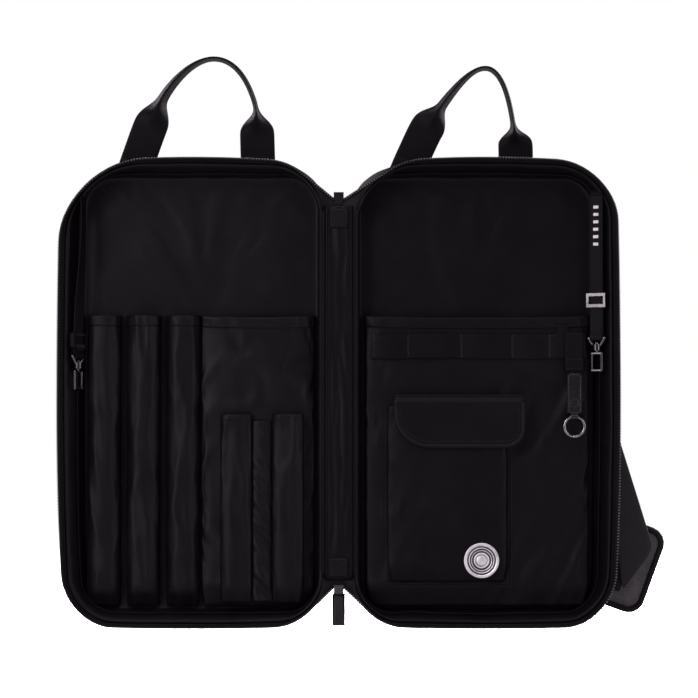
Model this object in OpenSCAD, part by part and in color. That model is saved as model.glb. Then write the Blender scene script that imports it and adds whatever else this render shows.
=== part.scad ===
// Drum stick bag, unzipped and opened flat like a book.
// x runs to the right, y runs away from the viewer and z runs up. The origin is the middle of the
// spine panel's outer face. Each half is drawn on the right, and the left one is mirrored.

/* [Bag body] */
// Height of the bag over the zip rim
bag_h = 470; // [460:1:500]
// Width of one half, from its hinge line to the rim
half_w = 264; // [260:1:280]
// Depth of one half, from the back panel to the rim
half_d = 40; // [40:1:46]
// Width of the soft strip between the two hinge lines
spine_w = 28; // [28:1:32]
// Corner radius of the zip rim
corner_r = 48; // [46:1:54]
// How far the outer side wall leans out between back panel and rim
lean_side = 18; // [14:1:18]
// How far the top and bottom walls lean out
lean_end = 13; // [10:1:14]

/* [Layers] */
// Thickness of the outer fabric
outer_t = 1; // [0.8:0.1:1.2]
// Thickness of the foam padding
foam_t = 3.5; // [3.2:0.1:3.8]
// Thickness of the lining
lining_t = 0.9; // [0.7:0.1:1]
// Thickness of the stiffening board in each back panel
board_t = 1.5; // [1:0.1:1.8]

/* [Stick side] */
// Width of one stick pocket
tube_w = 33; // [31:1:34]
// Spacing of the stick pockets
tube_pitch = 39.5; // [38:0.5:40]
// How far the stick pockets stand off the lining
tube_d = 20; // [18:1:21]
// Height of the pocket tops above the middle of the bag
pocket_top = 77; // [60:1:90]
// How far the wide pocket stands off the lining
wide_d = 13; // [11:1:14]
// Height of the small pocket tops above the middle of the bag
small_top = -22; // [-40:1:0]

/* [Organiser side] */
// How far the organiser pocket stands off the lining
organiser_d = 15.5; // [14:0.5:16]
// Width of the pocket flap
flap_w = 131; // [120:1:134]
// Height of the pocket flap
flap_h = 47; // [44:1:54]
// Radius of the round badge
badge_r = 17.5; // [15:0.5:19]

/* [Straps] */
// Width of the handle and shoulder webbing
webbing_w = 38; // [34:1:40]
// Width of the webbing that carries each drum hook
hook_web_w = 15; // [14:0.5:16]
// Length of the shoulder pad
pad_l = 230; // [210:1:240]
// Width of the shoulder pad
pad_w = 90; // [84:1:94]

/* [Hidden] */
$fn = 48;

fabric = [0.1, 0.1, 0.11];
lining_colour = [0.13, 0.12, 0.14];
webbing_colour = [0.15, 0.15, 0.16];
foam_colour = [0.5, 0.5, 0.5];
metal = [0.75, 0.75, 0.77];

gap = 0.05;                           // between sewn layers
hinge_x = spine_w / 2;                // hinge lines, at y = 0
rim_y = -spine_w / 2;                 // plane in which the two rims meet when the bag is shut
back_y = half_d + rim_y;              // outer face of the back panel
back_round = 5;                       // rounding between wall and back panel
edge_y = back_y - back_round;
zip_band = 10;                        // height of the zip tape above the padded wall
wall_top_y = rim_y + zip_band;
straight = bag_h / 2 - corner_r;      // half length of the straight spine edge
foam_in = outer_t + gap;              // insets of the layers, measured from the outer face
foam_out = foam_in + foam_t;
lining_in = foam_out + gap;
lining_out = lining_in + lining_t;
lining_y = back_y - lining_out;       // inner face of the back lining
chamfer = tan(22.5);                  // shift of a 45 degree edge for each mm of inset
pocket_z0 = -bag_h / 2 + lean_end + 9.5;
pocket_t = 1.2;                       // pocket fabric with its hem
seat_y = lining_y - gap;              // back of everything sewn to the back lining

function shrink(y, total) = total * (y - rim_y) / (edge_y - rim_y);

// ---- shared shapes ----

// A rounded rectangle of exact arcs, from (x0, z0) to (x1, z1)
module round_rect(x0, z0, x1, z1, r) {
    translate([x0 + r, z0]) square([x1 - x0 - 2 * r, z1 - z0]);
    translate([x0, z0 + r]) square([x1 - x0, z1 - z0 - 2 * r]);
    for (x = [x0 + r, x1 - r], z = [z0 + r, z1 - r])
        translate([x, z]) circle(r);
}

// A flat plate standing in the xz plane, its front at y1 and its back at y0
module plate(y1, y0) {
    translate([0, y0, 0]) rotate([90, 0, 0]) linear_extrude(y0 - y1) children();
}

// A pocket profile in the xy plane: w wide, standing d off the plane y = back, front corners r
module bulge(x, w, back, d, r) {
    translate([x - w / 2, back - d + r]) square([w, d - r]);
    translate([x - w / 2 + r, back - d]) square([w - 2 * r, d]);
    for (s = [-1, 1]) translate([x + s * (w / 2 - r), back - d + r]) circle(r);
}

// A pocket that is open at the top: front, sides and bottom, with the lining as its back
module pouch(x, w, back, d, r, z0, z1, t) {
    difference() {
        translate([0, 0, z0]) linear_extrude(z1 - z0) bulge(x, w, back, d, r);
        translate([0, 0, z0 + t]) linear_extrude(z1 - z0)
            bulge(x, w - 2 * t, back + 1, d - t + 1, r - t);
    }
}

// The prism that everything sewn to a back lining has to stay in
module pocket_zone() {
    inset = lining_out + 3;
    plate(rim_y, seat_y)
        round_rect(hinge_x + inset, -bag_h / 2 + lean_end + inset,
                   hinge_x + half_w - lean_side - inset, bag_h / 2 - lean_end - inset,
                   corner_r - lean_end - inset);
}

module wire(p, q, r) {
    d = q - p;
    translate(p)
        rotate([0, acos(d.z / norm(d)), atan2(d.y, d.x)])
            cylinder(h = norm(d), r = r);
}

module ball(p, r) {
    translate(p) sphere(r);
}

module on_left() {
    mirror([1, 0, 0]) children();
}

// ---- padded tray, drawn for the right half ----

// A thin slice of the tray's outline at depth y, inset from the outer face
module slice(y, inset, extra = 0) {
    s = shrink(min(y, edge_y), lean_side) + inset + extra;
    e = shrink(min(y, edge_y), lean_end) + inset + extra;
    translate([hinge_x, y, 0]) rotate([90, 0, 0]) linear_extrude(0.01)
        round_rect(inset + extra, -bag_h / 2 + e, half_w - s, bag_h / 2 - e, corner_r - e);
}

module tray_block(inset, top_y) {
    hull() {
        slice(back_y - inset, inset * chamfer, back_round);
        slice(edge_y - inset * chamfer, inset);
        slice(top_y, inset);
    }
}

// Room for the spine strip, where the walls stop at the hinge line
module spine_notch() {
    translate([hinge_x - 2, rim_y - 5, -straight])
        cube([14, 5 - rim_y + 0.15, 2 * straight]);
}

module tray_layer(inset_0, inset_1) {
    difference() {
        tray_block(inset_0, wall_top_y);
        tray_block(inset_1, wall_top_y - 1);
        spine_notch();
    }
}

module wall_ring(inset_0, inset_1, y0, y1) {
    difference() {
        hull() {
            slice(y0, inset_0);
            slice(y1, inset_0);
        }
        hull() {
            slice(y0 + 1, inset_1);
            slice(y1 - 1, inset_1);
        }
    }
}

module board(margin, y1, y0) {
    plate(y1, y0)
        round_rect(hinge_x + margin, -bag_h / 2 + lean_end + margin,
                   hinge_x + half_w - lean_side - margin, bag_h / 2 - lean_end - margin, 20);
}

module outer_shell() {
    color(fabric) tray_layer(0, outer_t);
}

module foam_tray() {
    color(foam_colour) difference() {
        tray_layer(foam_in, foam_out);
        board(19.5, back_y - foam_in - board_t - gap, back_y);
    }
}

module stiff_board() {
    color([0.2, 0.2, 0.2]) board(20, back_y - foam_in - board_t, back_y - foam_in);
}

module lining_tray() {
    color(lining_colour) tray_layer(lining_in, lining_out);
}

module zip_tape() {
    color(fabric) difference() {
        wall_ring(0.6, 1.6, wall_top_y - 0.3, rim_y + 3.2);
        spine_notch();
    }
}

module zip_teeth() {
    color(metal) difference() {
        wall_ring(-0.6, 2.8, rim_y + 3, rim_y + 0.2);
        spine_notch();
    }
}

// Tape that binds the raw seam between the zip wall and the back panel
module seam_binding() {
    color(webbing_colour) wall_ring(lining_out + gap, lining_out + 2, 12, 8);
}

// ---- spine ----

module spine_strip(y1, y0) {
    translate([-hinge_x + 0.1, y1, -straight + 0.5])
        cube([spine_w - 0.2, y0 - y1, 2 * straight - 1]);
}

module spine_outer() {
    color(fabric) spine_strip(-outer_t, 0);
}

module spine_foam() {
    color(foam_colour) spine_strip(-foam_out, -foam_in);
}

module spine_lining() {
    color(lining_colour) spine_strip(-lining_out, -lining_in);
}

// Fabric tabs that close the two ends of the zip
module zip_end_tabs() {
    color(fabric) for (s = [-1, 1])
        translate([-9, -lining_out - 1, s * (straight - 13) - 10]) cube([18, 0.9, 20]);
}

// ---- zip sliders and their pulls ----

pull_y = 8.1;                         // hinge pin of a pull
pull_z = straight + 8;                // height of the top slider's pin

module slider() {
    color(metal) {
        translate([-5, 1, straight + 0.4]) cube([10, 4.5, 13]);
        for (x = [-5, 3.6]) translate([x, 4, pull_z - 2.5]) cube([1.4, 5.5, 5]);
        wire([-4.5, pull_y, pull_z], [4.5, pull_y, pull_z], 1.1);
    }
}

// A pull hangs from its pin at height z
module zip_pull(z) {
    color(fabric) difference() {
        union() {
            wire([-3.3, pull_y, z], [3.3, pull_y, z], 2.4);
            translate([-3, pull_y - 1.2, z - 8]) cube([6, 2.4, 8]);
            plate(pull_y - 1.2, pull_y + 1.2) round_rect(-5.5, z - 34, 5.5, z - 6, 1.5);
        }
        wire([-9, pull_y, z], [9, pull_y, z], 1.18);
    }
}

// ---- stick side ----

tube_x = hinge_x + half_w - lean_side - lining_out - 3 - tube_w / 2 - 0.3;
wide_x0 = hinge_x + lining_out + 5;
wide_x1 = tube_x - 2 * tube_pitch - tube_w / 2 - 2;

module stick_pocket(i) {
    color(lining_colour) intersection() {
        pouch(tube_x - i * tube_pitch, tube_w, seat_y, tube_d, 9, pocket_z0, pocket_top, pocket_t);
        pocket_zone();
    }
}

module wide_pocket() {
    color(lining_colour) intersection() {
        pouch((wide_x0 + wide_x1) / 2, wide_x1 - wide_x0, seat_y, wide_d, 7,
              pocket_z0, pocket_top, pocket_t);
        pocket_zone();
    }
}

// Two narrow pockets on the front of the wide one
module small_pockets() {
    color(lining_colour) for (x = [wide_x1 - 35, wide_x0 + 26])
        pouch(x, 31, seat_y - wide_d - gap, 10, 5, pocket_z0 + 3, small_top, 1);
}

// ---- organiser side ----

organiser_x0 = hinge_x + lining_out + 7.5;
organiser_x1 = hinge_x + half_w - lean_side - lining_out - 5;
organiser_y = seat_y - organiser_d;   // front face of the organiser pocket
patch_x0 = 49;                        // side of the patch pocket nearest the spine
flap_x0 = 54.5;
flap_z = -8;                           // top edge of the flap
flap_pocket_d = 9;
flap_pocket_y = organiser_y - gap - flap_pocket_d;
flap_y = flap_pocket_y - 2.2;         // back face of the flap
flap_t = 2;
molle_z = 46.5;                       // centre height of the bar-tacked webbing
key_x = 235;
key_y = organiser_y - 4.6;            // centre plane of the key clip
key_z = -24;                          // pivot of the key ring

module organiser_pocket() {
    color(lining_colour) intersection() {
        pouch((organiser_x0 + organiser_x1) / 2, organiser_x1 - organiser_x0, seat_y,
              organiser_d, 8, pocket_z0, pocket_top, 1.4);
        pocket_zone();
    }
}

module organiser_webbing() {
    color(webbing_colour)
        plate(organiser_y - gap - 1.5, organiser_y - gap)
            translate([organiser_x0 + 7, molle_z - 12.5]) square([key_x + 12 - organiser_x0 - 7, 25]);
}

// Patch pocket with the welt that its flap hangs from
module flap_pocket() {
    color(lining_colour) {
        pouch(patch_x0 + 59, 118, organiser_y - gap, flap_pocket_d, 4.4, -188, flap_z - 5, 1);
        translate([flap_x0, flap_y - flap_t, flap_z + 0.4])
            cube([flap_w, organiser_y - gap - flap_y + flap_t, 2.6]);
    }
}

module pocket_flap() {
    color(lining_colour) plate(flap_y - flap_t, flap_y) {
        intersection() {
            hull() {
                translate([flap_x0, flap_z - 8]) square([8, 8]);
                translate([flap_x0 + 36, flap_z - flap_h + 36]) circle(36);
                translate([flap_x0 + flap_w - 19, flap_z - flap_h + 19]) circle(19);
                translate([flap_x0 + flap_w - 6, flap_z - 6]) circle(6);
            }
            translate([flap_x0, flap_z - flap_h]) square([flap_w, flap_h]);
        }
    }
}

module flap_tape(y1, y0) {
    color([0.05, 0.05, 0.05]) plate(y1, y0) translate([flap_x0 + 35, flap_z - 40]) square([60, 18]);
}

module badge() {
    color([0.8, 0.8, 0.82]) plate(flap_pocket_y - gap - 1.2, flap_pocket_y - gap)
        translate([142, -167]) circle(badge_r);
}

module key_leash() {
    color(webbing_colour) plate(key_y - 1, key_y + 1) translate([key_x - 9, key_z + 44]) square([18, 40]);
}

// Moulded tab with a tunnel across its foot for the ring
module key_clip() {
    color([0.12, 0.12, 0.12]) difference() {
        union() {
            plate(key_y - 2, key_y + 2.4)
                round_rect(key_x - 7.5, key_z + 2, key_x + 7.5, key_z + 43.9, 3);
            wire([key_x - 3.5, key_y, key_z], [key_x + 3.5, key_y, key_z], 2.9);
        }
        wire([key_x - 9, key_y, key_z], [key_x + 9, key_y, key_z], 1.9);
        for (x = [-8.5, 3.5]) translate([key_x + x, key_y - 4, key_z - 16]) cube([5, 8, 19.5]);
    }
}

module key_ring() {
    color(metal) translate([key_x, key_y, key_z - 9.9]) rotate([90, 0, 0])
        rotate_extrude() translate([10, 0]) circle(0.9);
}

// ---- carry handles ----

function bezier(p, t) =
    pow(1 - t, 3) * p[0] + 3 * t * pow(1 - t, 2) * p[1] + 3 * t * t * (1 - t) * p[2] + pow(t, 3) * p[3];

handle_y = edge_y + 2.7;              // plane of the webbing legs
handle_root_z = bag_h / 2 - lean_end + 0.4;
handle_web = webbing_w - 3;
grip_t = 5;
grip_w = 18;
grip_steps = 16;

// One flat webbing leg that folds into the grip at the neck
module handle_leg(root_x, knee, neck) {
    hull() {
        translate([root_x, handle_y, handle_root_z + 0.05]) cube([handle_web, 2.4, 0.1], center = true);
        translate([knee[0], handle_y, knee[1]]) cube([handle_web, 2.4, 0.1], center = true);
    }
    hull() {
        translate([knee[0], handle_y, knee[1]]) cube([handle_web, 2.4, 0.1], center = true);
        translate([neck[0], handle_y, neck[1]]) cube([grip_t, grip_w, 0.1], center = true);
    }
}

// The grip is the webbing folded in half along a curve p, from neck to neck
module carry_handle(root_a, knee_a, p, knee_b, root_b) {
    path = [for (i = [0:grip_steps]) bezier(p, i / grip_steps)];
    tangent = [for (i = [0:grip_steps]) path[min(i + 1, grip_steps)] - path[max(i - 1, 0)]];
    side = [for (v = tangent) [-v[1], v[0]] / norm(v) * grip_t / 2];
    color(webbing_colour) {
        plate(handle_y - grip_w / 2, handle_y + grip_w / 2)
            polygon(concat([for (i = [0:grip_steps]) path[i] + side[i]],
                           [for (i = [grip_steps:-1:0]) path[i] - side[i]]));
        handle_leg(root_a, knee_a, p[0]);
        handle_leg(root_b, knee_b, p[3]);
    }
}

module left_handle() {
    on_left() carry_handle(206, [191, 265], [[178, 297], [160, 353], [98, 351], [83, 287]],
                           [82, 258], 81);
}

module right_handle() {
    carry_handle(68, [87, 264], [[104, 290], [128, 322], [163, 365], [176, 270]], [178, 248], 178);
}

// ---- drum hook assemblies, drawn with the webbing's width along y ----

hook_y = -3;
hook_top = bag_h / 2 - 38;
left_hook_x = hinge_x + half_w - 18.5;
right_hook_x = hinge_x + half_w - 21;
left_hook_turn = 37;                  // the left webbing lies nearly flat on the side wall
right_hook_turn = 65;                 // the right one is twisted to the front
left_hook_z = 38;                     // lower ends of the two webbings
right_hook_z = 56;
hook_wire = 1.5;
hook_half = 5;                        // half width of the hook's loop, to the wire centre
gate_drop = 31.3;                     // from the webbing's end to the foot of the gate

module at_left_hook() {
    on_left() translate([left_hook_x, hook_y, 0]) rotate([0, 0, left_hook_turn]) children();
}

module at_right_hook() {
    translate([right_hook_x, hook_y, 0]) rotate([0, 0, right_hook_turn]) children();
}

module hook_strap(z_end) {
    color(webbing_colour)
        translate([-1, -hook_web_w / 2, z_end]) cube([2, hook_web_w, hook_top - z_end]);
}

// Slider that the webbing threads through
module glide(z) {
    w = hook_web_w;
    color(metal) translate([0, 0, z]) difference() {
        cube([5, w + 5, 14], center = true);
        cube([2.6, w + 0.8, 20], center = true);
        cube([9, w + 0.4, 8], center = true);
    }
}

// Loop on the webbing's end with a barrel that the hook swivels in
module swivel_eye(z) {
    top = -1.8;
    low = -9;
    half = hook_web_w / 2 + 1;
    color(metal) translate([0, 0, z]) difference() {
        union() {
            wire([0, -half, top], [0, half, top], hook_wire);
            for (s = [-1, 1]) {
                wire([0, s * half, top], [0, s * 3.5, low], hook_wire);
                ball([0, s * half, top], hook_wire);
            }
            translate([0, 0, -14]) cylinder(h = 6, r = 4.2);
        }
        translate([0, 0, -20]) cylinder(h = 16, r = 1.6);
    }
}

// Swivelling hook: pin, collar and a loop with a gap for the gate
module snap_hook(z) {
    r = hook_wire;
    a = hook_half;
    top = -17;
    low = -34;
    color(metal) translate([0, 0, z]) {
        translate([0, 0, -16.6]) cylinder(h = 8.9, r = 1.5);
        translate([0, 0, -7.8]) cylinder(h = 1.6, r = 1.95);
        wire([0, -a, top], [0, a, top], r);
        wire([0, -a, top], [0, -a, low], r);
        wire([0, a, top], [0, a, top - 3.5], r);
        wire([0, a, low], [0, a, low + 2], r);
        wire([0, -a, low], [0, a, low], r);
        for (y = [-a, a], h = [top, low]) ball([0, y, h], r);
    }
}

module gate(z) {
    color(metal) translate([0, hook_half, z - gate_drop]) cylinder(h = 10.6, r = 1.1);
}

// ---- shoulder strap on the right half's back ----

strap_turn = -17.2;                   // lean of the long run of webbing
pad_turn = 20;                        // lean of the pad
fold_x = 303.5;                       // where the webbing folds over the pad's end
fold_z = -178;
strap_run = 380;                      // from the top ring's upper bar to the fold
pad_end_x = 317;                      // middle of the pad's outer end
pad_end_z = -183;
ring_r = 2;                           // wire radius of the strap rings
ring_drop = 18;
roll_y = back_y + 3.8;                // axis of the rolled webbing loops
web_front_y = roll_y - 1;             // long run of webbing, front face
web_back_y = web_front_y + 4;         // run along the pad, front face
pad_y = web_back_y + 3.9;             // front face of the pad
tail_x = 62;                          // run down to the lower ring
tail_z = -90;
low_ring_z = -bag_h / 2 + 45;

// Placement of the long run: its top at the ring, pointing down along -z
module along_strap() {
    translate([fold_x + sin(strap_turn) * strap_run, 0, fold_z + cos(strap_turn) * strap_run])
        rotate([0, strap_turn, 0]) children();
}

module along_pad() {
    translate([pad_end_x, 0, pad_end_z]) rotate([0, pad_turn, 0]) children();
}

// Sewn tab with a rolled loop along x at its lower end
module anchor_tab(w, h) {
    color(webbing_colour) difference() {
        union() {
            translate([-w / 2, back_y + 0.1, 0]) cube([w, 2, h]);
            wire([-w / 2, roll_y, 0], [w / 2, roll_y, 0], 3.6);
        }
        wire([-w, roll_y, 0], [w, roll_y, 0], ring_r + 0.08);
    }
}

// Rectangular wire ring, its upper bar on the x axis
module square_ring(w, drop) {
    a = w / 2 + 3;
    color(metal) translate([0, roll_y, 0]) {
        for (z = [0, -drop]) wire([-a, 0, z], [a, 0, z], ring_r);
        for (x = [-a, a]) {
            wire([x, 0, 0], [x, 0, -drop], ring_r);
            for (z = [0, -drop]) ball([x, 0, z], ring_r);
        }
    }
}

module top_anchor() {
    along_strap() anchor_tab(webbing_w - 2, 26);
}

module top_ring() {
    along_strap() square_ring(webbing_w, ring_drop);
}

module bottom_anchor() {
    translate([tail_x, 0, low_ring_z - ring_drop]) mirror([0, 0, 1]) anchor_tab(webbing_w - 2, 22);
}

module bottom_ring() {
    translate([tail_x, 0, low_ring_z]) square_ring(webbing_w, ring_drop);
}

module shoulder_strap() {
    w = webbing_w;
    color(webbing_colour) {
        along_strap() difference() {
            union() {
                translate([-w / 2 + 1, web_front_y, -strap_run]) cube([w - 2, 2, strap_run - ring_drop]);
                wire([-w / 2 + 1, roll_y, -ring_drop], [w / 2 - 1, roll_y, -ring_drop], 3.6);
            }
            wire([-w, roll_y, -ring_drop], [w, roll_y, -ring_drop], ring_r + 0.08);
        }
        plate(web_front_y, web_back_y + 1.8) translate([fold_x, fold_z]) circle(9);
        along_pad() translate([-270, web_back_y, -w / 2 + 1]) cube([258, 1.8, w - 2]);
        translate([tail_x - w / 2 + 1, web_back_y, low_ring_z + ring_r + 1])
            cube([w - 2, 1.8, tail_z - low_ring_z - ring_r + 15]);
    }
}

module strap_adjuster() {
    color(metal) translate([tail_x, web_back_y + 0.9, -128]) difference() {
        cube([webbing_w + 6, 5.4, 16], center = true);
        cube([webbing_w - 1, 2.6, 30], center = true);
        cube([webbing_w - 1.4, 9, 10], center = true);
    }
}

module shoulder_pad() {
    color(fabric) along_pad() plate(pad_y, pad_y + 8)
        round_rect(-pad_l + 3.05, -pad_w / 2 + 3.05, -3.05, pad_w / 2 - 3.05, 13);
}

module pad_binding() {
    color(webbing_colour) along_pad() difference() {
        plate(pad_y - 0.3, pad_y + 8.3) round_rect(-pad_l, -pad_w / 2, 0, pad_w / 2, 16);
        plate(pad_y - 2, pad_y + 10) round_rect(-pad_l + 3, -pad_w / 2 + 3, -3, pad_w / 2 - 3, 13);
    }
}

// Two bands that hold the webbing on the pad
module pad_keepers() {
    low_y = web_back_y - 0.8;
    color(webbing_colour) along_pad() for (x = [-39, -205]) difference() {
        translate([x, low_y, -27]) cube([12, pad_y - gap - low_y, 54]);
        translate([x - 1, low_y + 0.7, -19.2]) cube([14, 9, 38.4]);
    }
}

spine_outer();
spine_foam();
spine_lining();
zip_end_tabs();
slider();  // top_slider
mirror([0, 0, 1]) slider();  // bottom_slider
zip_pull(pull_z);  // top_pull
zip_pull(-pull_z);  // bottom_pull
on_left() outer_shell();  // left_outer
on_left() foam_tray();  // left_foam
on_left() stiff_board();  // left_board
on_left() lining_tray();  // left_lining
on_left() zip_tape();  // left_zip_tape
on_left() zip_teeth();  // left_zip_teeth
on_left() seam_binding();  // left_binding
on_left() stick_pocket(0);  // stick_pocket_1
on_left() stick_pocket(1);  // stick_pocket_2
on_left() stick_pocket(2);  // stick_pocket_3
on_left() wide_pocket();
on_left() small_pockets();
left_handle();
at_left_hook() hook_strap(left_hook_z);  // left_hook_strap
at_left_hook() glide(left_hook_z + 14);  // left_glide
at_left_hook() swivel_eye(left_hook_z);  // left_swivel_eye
at_left_hook() snap_hook(left_hook_z);  // left_snap_hook
at_left_hook() gate(left_hook_z);  // left_gate
outer_shell();  // right_outer
foam_tray();  // right_foam
stiff_board();  // right_board
lining_tray();  // right_lining
zip_tape();  // right_zip_tape
zip_teeth();  // right_zip_teeth
seam_binding();  // right_binding
organiser_pocket();
organiser_webbing();
flap_pocket();
pocket_flap();
flap_tape(flap_y + gap, flap_y + 1.1);  // flap_hook_tape
flap_tape(flap_y + 1.15, flap_pocket_y - gap);  // flap_loop_tape
badge();
key_leash();
key_clip();
key_ring();
right_handle();
at_right_hook() hook_strap(right_hook_z);  // right_hook_strap
at_right_hook() glide(right_hook_z + 36);  // right_glide
at_right_hook() swivel_eye(right_hook_z);  // right_swivel_eye
at_right_hook() snap_hook(right_hook_z);  // right_snap_hook
at_right_hook() gate(right_hook_z);  // right_gate
top_anchor();
top_ring();
bottom_anchor();
bottom_ring();
shoulder_strap();
strap_adjuster();
shoulder_pad();
pad_binding();
pad_keepers();
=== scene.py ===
"""Drum stick bag, unzipped and opened flat: cloth, webbing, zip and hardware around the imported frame."""
import math

import bmesh
import bpy
import numpy as np
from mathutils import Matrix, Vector, noise
from mathutils.bvhtree import BVHTree


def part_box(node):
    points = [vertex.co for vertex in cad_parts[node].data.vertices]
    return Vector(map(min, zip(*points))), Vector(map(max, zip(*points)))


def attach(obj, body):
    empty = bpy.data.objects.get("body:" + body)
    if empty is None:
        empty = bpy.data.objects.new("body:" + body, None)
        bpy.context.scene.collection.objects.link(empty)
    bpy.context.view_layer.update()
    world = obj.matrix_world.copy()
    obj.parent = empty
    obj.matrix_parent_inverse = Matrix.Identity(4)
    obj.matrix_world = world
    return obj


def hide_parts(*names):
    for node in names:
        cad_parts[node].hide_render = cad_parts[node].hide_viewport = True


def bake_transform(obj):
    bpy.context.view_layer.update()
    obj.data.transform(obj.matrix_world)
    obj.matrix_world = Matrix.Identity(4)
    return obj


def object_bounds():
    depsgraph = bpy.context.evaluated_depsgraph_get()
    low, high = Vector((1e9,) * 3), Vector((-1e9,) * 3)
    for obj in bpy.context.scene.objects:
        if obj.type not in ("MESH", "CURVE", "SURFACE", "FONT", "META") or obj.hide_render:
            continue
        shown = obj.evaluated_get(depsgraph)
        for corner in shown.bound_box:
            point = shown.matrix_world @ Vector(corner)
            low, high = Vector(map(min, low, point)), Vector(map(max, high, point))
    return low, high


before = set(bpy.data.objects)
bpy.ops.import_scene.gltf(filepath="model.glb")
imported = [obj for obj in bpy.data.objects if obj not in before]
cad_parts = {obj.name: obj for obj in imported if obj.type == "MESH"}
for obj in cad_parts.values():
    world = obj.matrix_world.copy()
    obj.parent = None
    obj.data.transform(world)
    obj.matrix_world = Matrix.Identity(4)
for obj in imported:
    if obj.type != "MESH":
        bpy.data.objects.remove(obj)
cad_lo, cad_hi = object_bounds()

MM = 0.001
SIDES = {"left": -1, "right": 1}
FACING = np.array([0, 1.0, 0])         # away from the viewer


def box_mm(node):
    lo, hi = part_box(node)
    return np.array(lo) / MM, np.array(hi) / MM


# ---------------------------------------------------------------- sizes taken from the frame
teeth_lo, teeth_hi = box_mm("right_zip_teeth")
outer_lo, outer_hi = box_mm("right_outer")
board_hi = box_mm("right_board")[1]
spine_hi = box_mm("spine_outer")[1]
HINGE = spine_hi[0] + 0.1
RIM_X = teeth_hi[0] - 0.6              # outer edge of the rim
RIM_Z = teeth_hi[2] - 0.6
RIM_Y = teeth_lo[1] - 0.2              # plane of the rim
BACK_Y = outer_hi[1]
EDGE_Y = BACK_Y - 5.0
TOP_Y = outer_lo[1]                    # top of the padded wall
BOARD_GAP = 20                         # from the board's edge to the back panel's
LEAN_X = RIM_X - (board_hi[0] + BOARD_GAP)
LEAN_Z = RIM_Z - (board_hi[2] + BOARD_GAP)
WALL = 5.5                             # outer fabric, foam and lining together
SEAT_Y = BACK_Y - WALL - 0.05          # front of the back lining
STRAIGHT = spine_hi[2] + 0.5
CORNER = RIM_Z - STRAIGHT


def smooth(a, b, v):
    t = np.clip((np.asarray(v, float) - a) / (b - a), 0, 1)
    return t * t * (3 - 2 * t)


# ---------------------------------------------------------------- materials
def put(nt, socket, value):
    """Sets a socket to a plain value, or links another socket to it."""
    if isinstance(value, bpy.types.NodeSocket):
        nt.links.new(value, socket)
    else:
        socket.default_value = value


def node(nt, kind, inputs=()):
    n = nt.nodes.new("ShaderNode" + kind)
    for key, value in dict(inputs).items():
        put(nt, n.inputs[key], value)
    return n


def empty_material(name):
    mat = bpy.data.materials.new(name)
    mat.use_nodes = True
    mat.node_tree.nodes.clear()
    return mat, mat.node_tree


def finish_material(mat, nt, inputs):
    node(nt, "OutputMaterial", {"Surface": node(nt, "BsdfPrincipled", inputs).outputs[0]})
    return mat


def calc(nt, op, *args):
    n = nt.nodes.new("ShaderNodeMath")
    n.operation = op
    for i, value in enumerate(args):
        put(nt, n.inputs[i], value)
    return n.outputs[0]


def grain(nt, coords, scale, detail=3.0, rough=0.55):
    return node(nt, "TexNoise", {"Scale": scale, "Detail": detail, "Roughness": rough, "Vector": coords}).outputs["Fac"]


def ramp(nt, fac, start, dark, stop, light):
    n = node(nt, "ValToRGB", {"Fac": fac})
    for e, pos, colour in zip(n.color_ramp.elements, (start, stop), (dark, light)):
        e.position = pos
        e.color = (*colour, 1)
    return n.outputs["Color"]


def bump(nt, height, distance, strength):
    return node(nt, "Bump", {"Strength": strength, "Distance": distance, "Height": height}).outputs["Normal"]


def weave_material(name, dark, light, pitch, rough, sheen, spec, depth=0.00012, along_uv=False):
    """Woven cloth: crossed threads, fine fibre noise, slow tone changes and rubbed high spots."""
    mat, nt = empty_material(name)
    tc = node(nt, "TexCoord")
    place_at = tc.outputs["Object"]
    x, y, z = node(nt, "SeparateXYZ", {0: tc.outputs["UV"] if along_uv else place_at}).outputs
    if along_uv:
        u, v = x, y
    else:
        u = calc(nt, "ADD", x, calc(nt, "MULTIPLY", y, 0.8))
        v = calc(nt, "ADD", z, calc(nt, "MULTIPLY", y, 0.6))
    turns = 2 * math.pi / pitch
    warp = calc(nt, "SINE", calc(nt, "MULTIPLY", u, turns))
    weft = calc(nt, "SINE", calc(nt, "MULTIPLY", v, turns * (0.62 if along_uv else 1.0)))
    threads = calc(nt, "ADD", calc(nt, "MULTIPLY", calc(nt, "MULTIPLY", warp, weft), 0.35),
                   calc(nt, "MULTIPLY", calc(nt, "ABSOLUTE", weft), 0.4))
    fibre, slow = grain(nt, place_at, 900, 2), grain(nt, place_at, 9, 4)
    worn = grain(nt, place_at, 34, 5, 0.7)
    tone = calc(nt, "ADD", calc(nt, "MULTIPLY", slow, 0.6),
                calc(nt, "ADD", calc(nt, "MULTIPLY", worn, 0.35), calc(nt, "MULTIPLY", threads, 0.12)))
    height = calc(nt, "ADD", calc(nt, "MULTIPLY", threads, 0.7), calc(nt, "MULTIPLY", fibre, 0.5))
    return finish_material(mat, nt, {
        "Base Color": ramp(nt, tone, 0.25, dark, 0.75, light), "Normal": bump(nt, height, depth, 0.8),
        "Roughness": calc(nt, "ADD", rough[0], calc(nt, "MULTIPLY", worn, (rough[1] - rough[0]) * 1.6)),
        "Specular IOR Level": spec, "Sheen Weight": sheen, "Sheen Roughness": 0.45})


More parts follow.
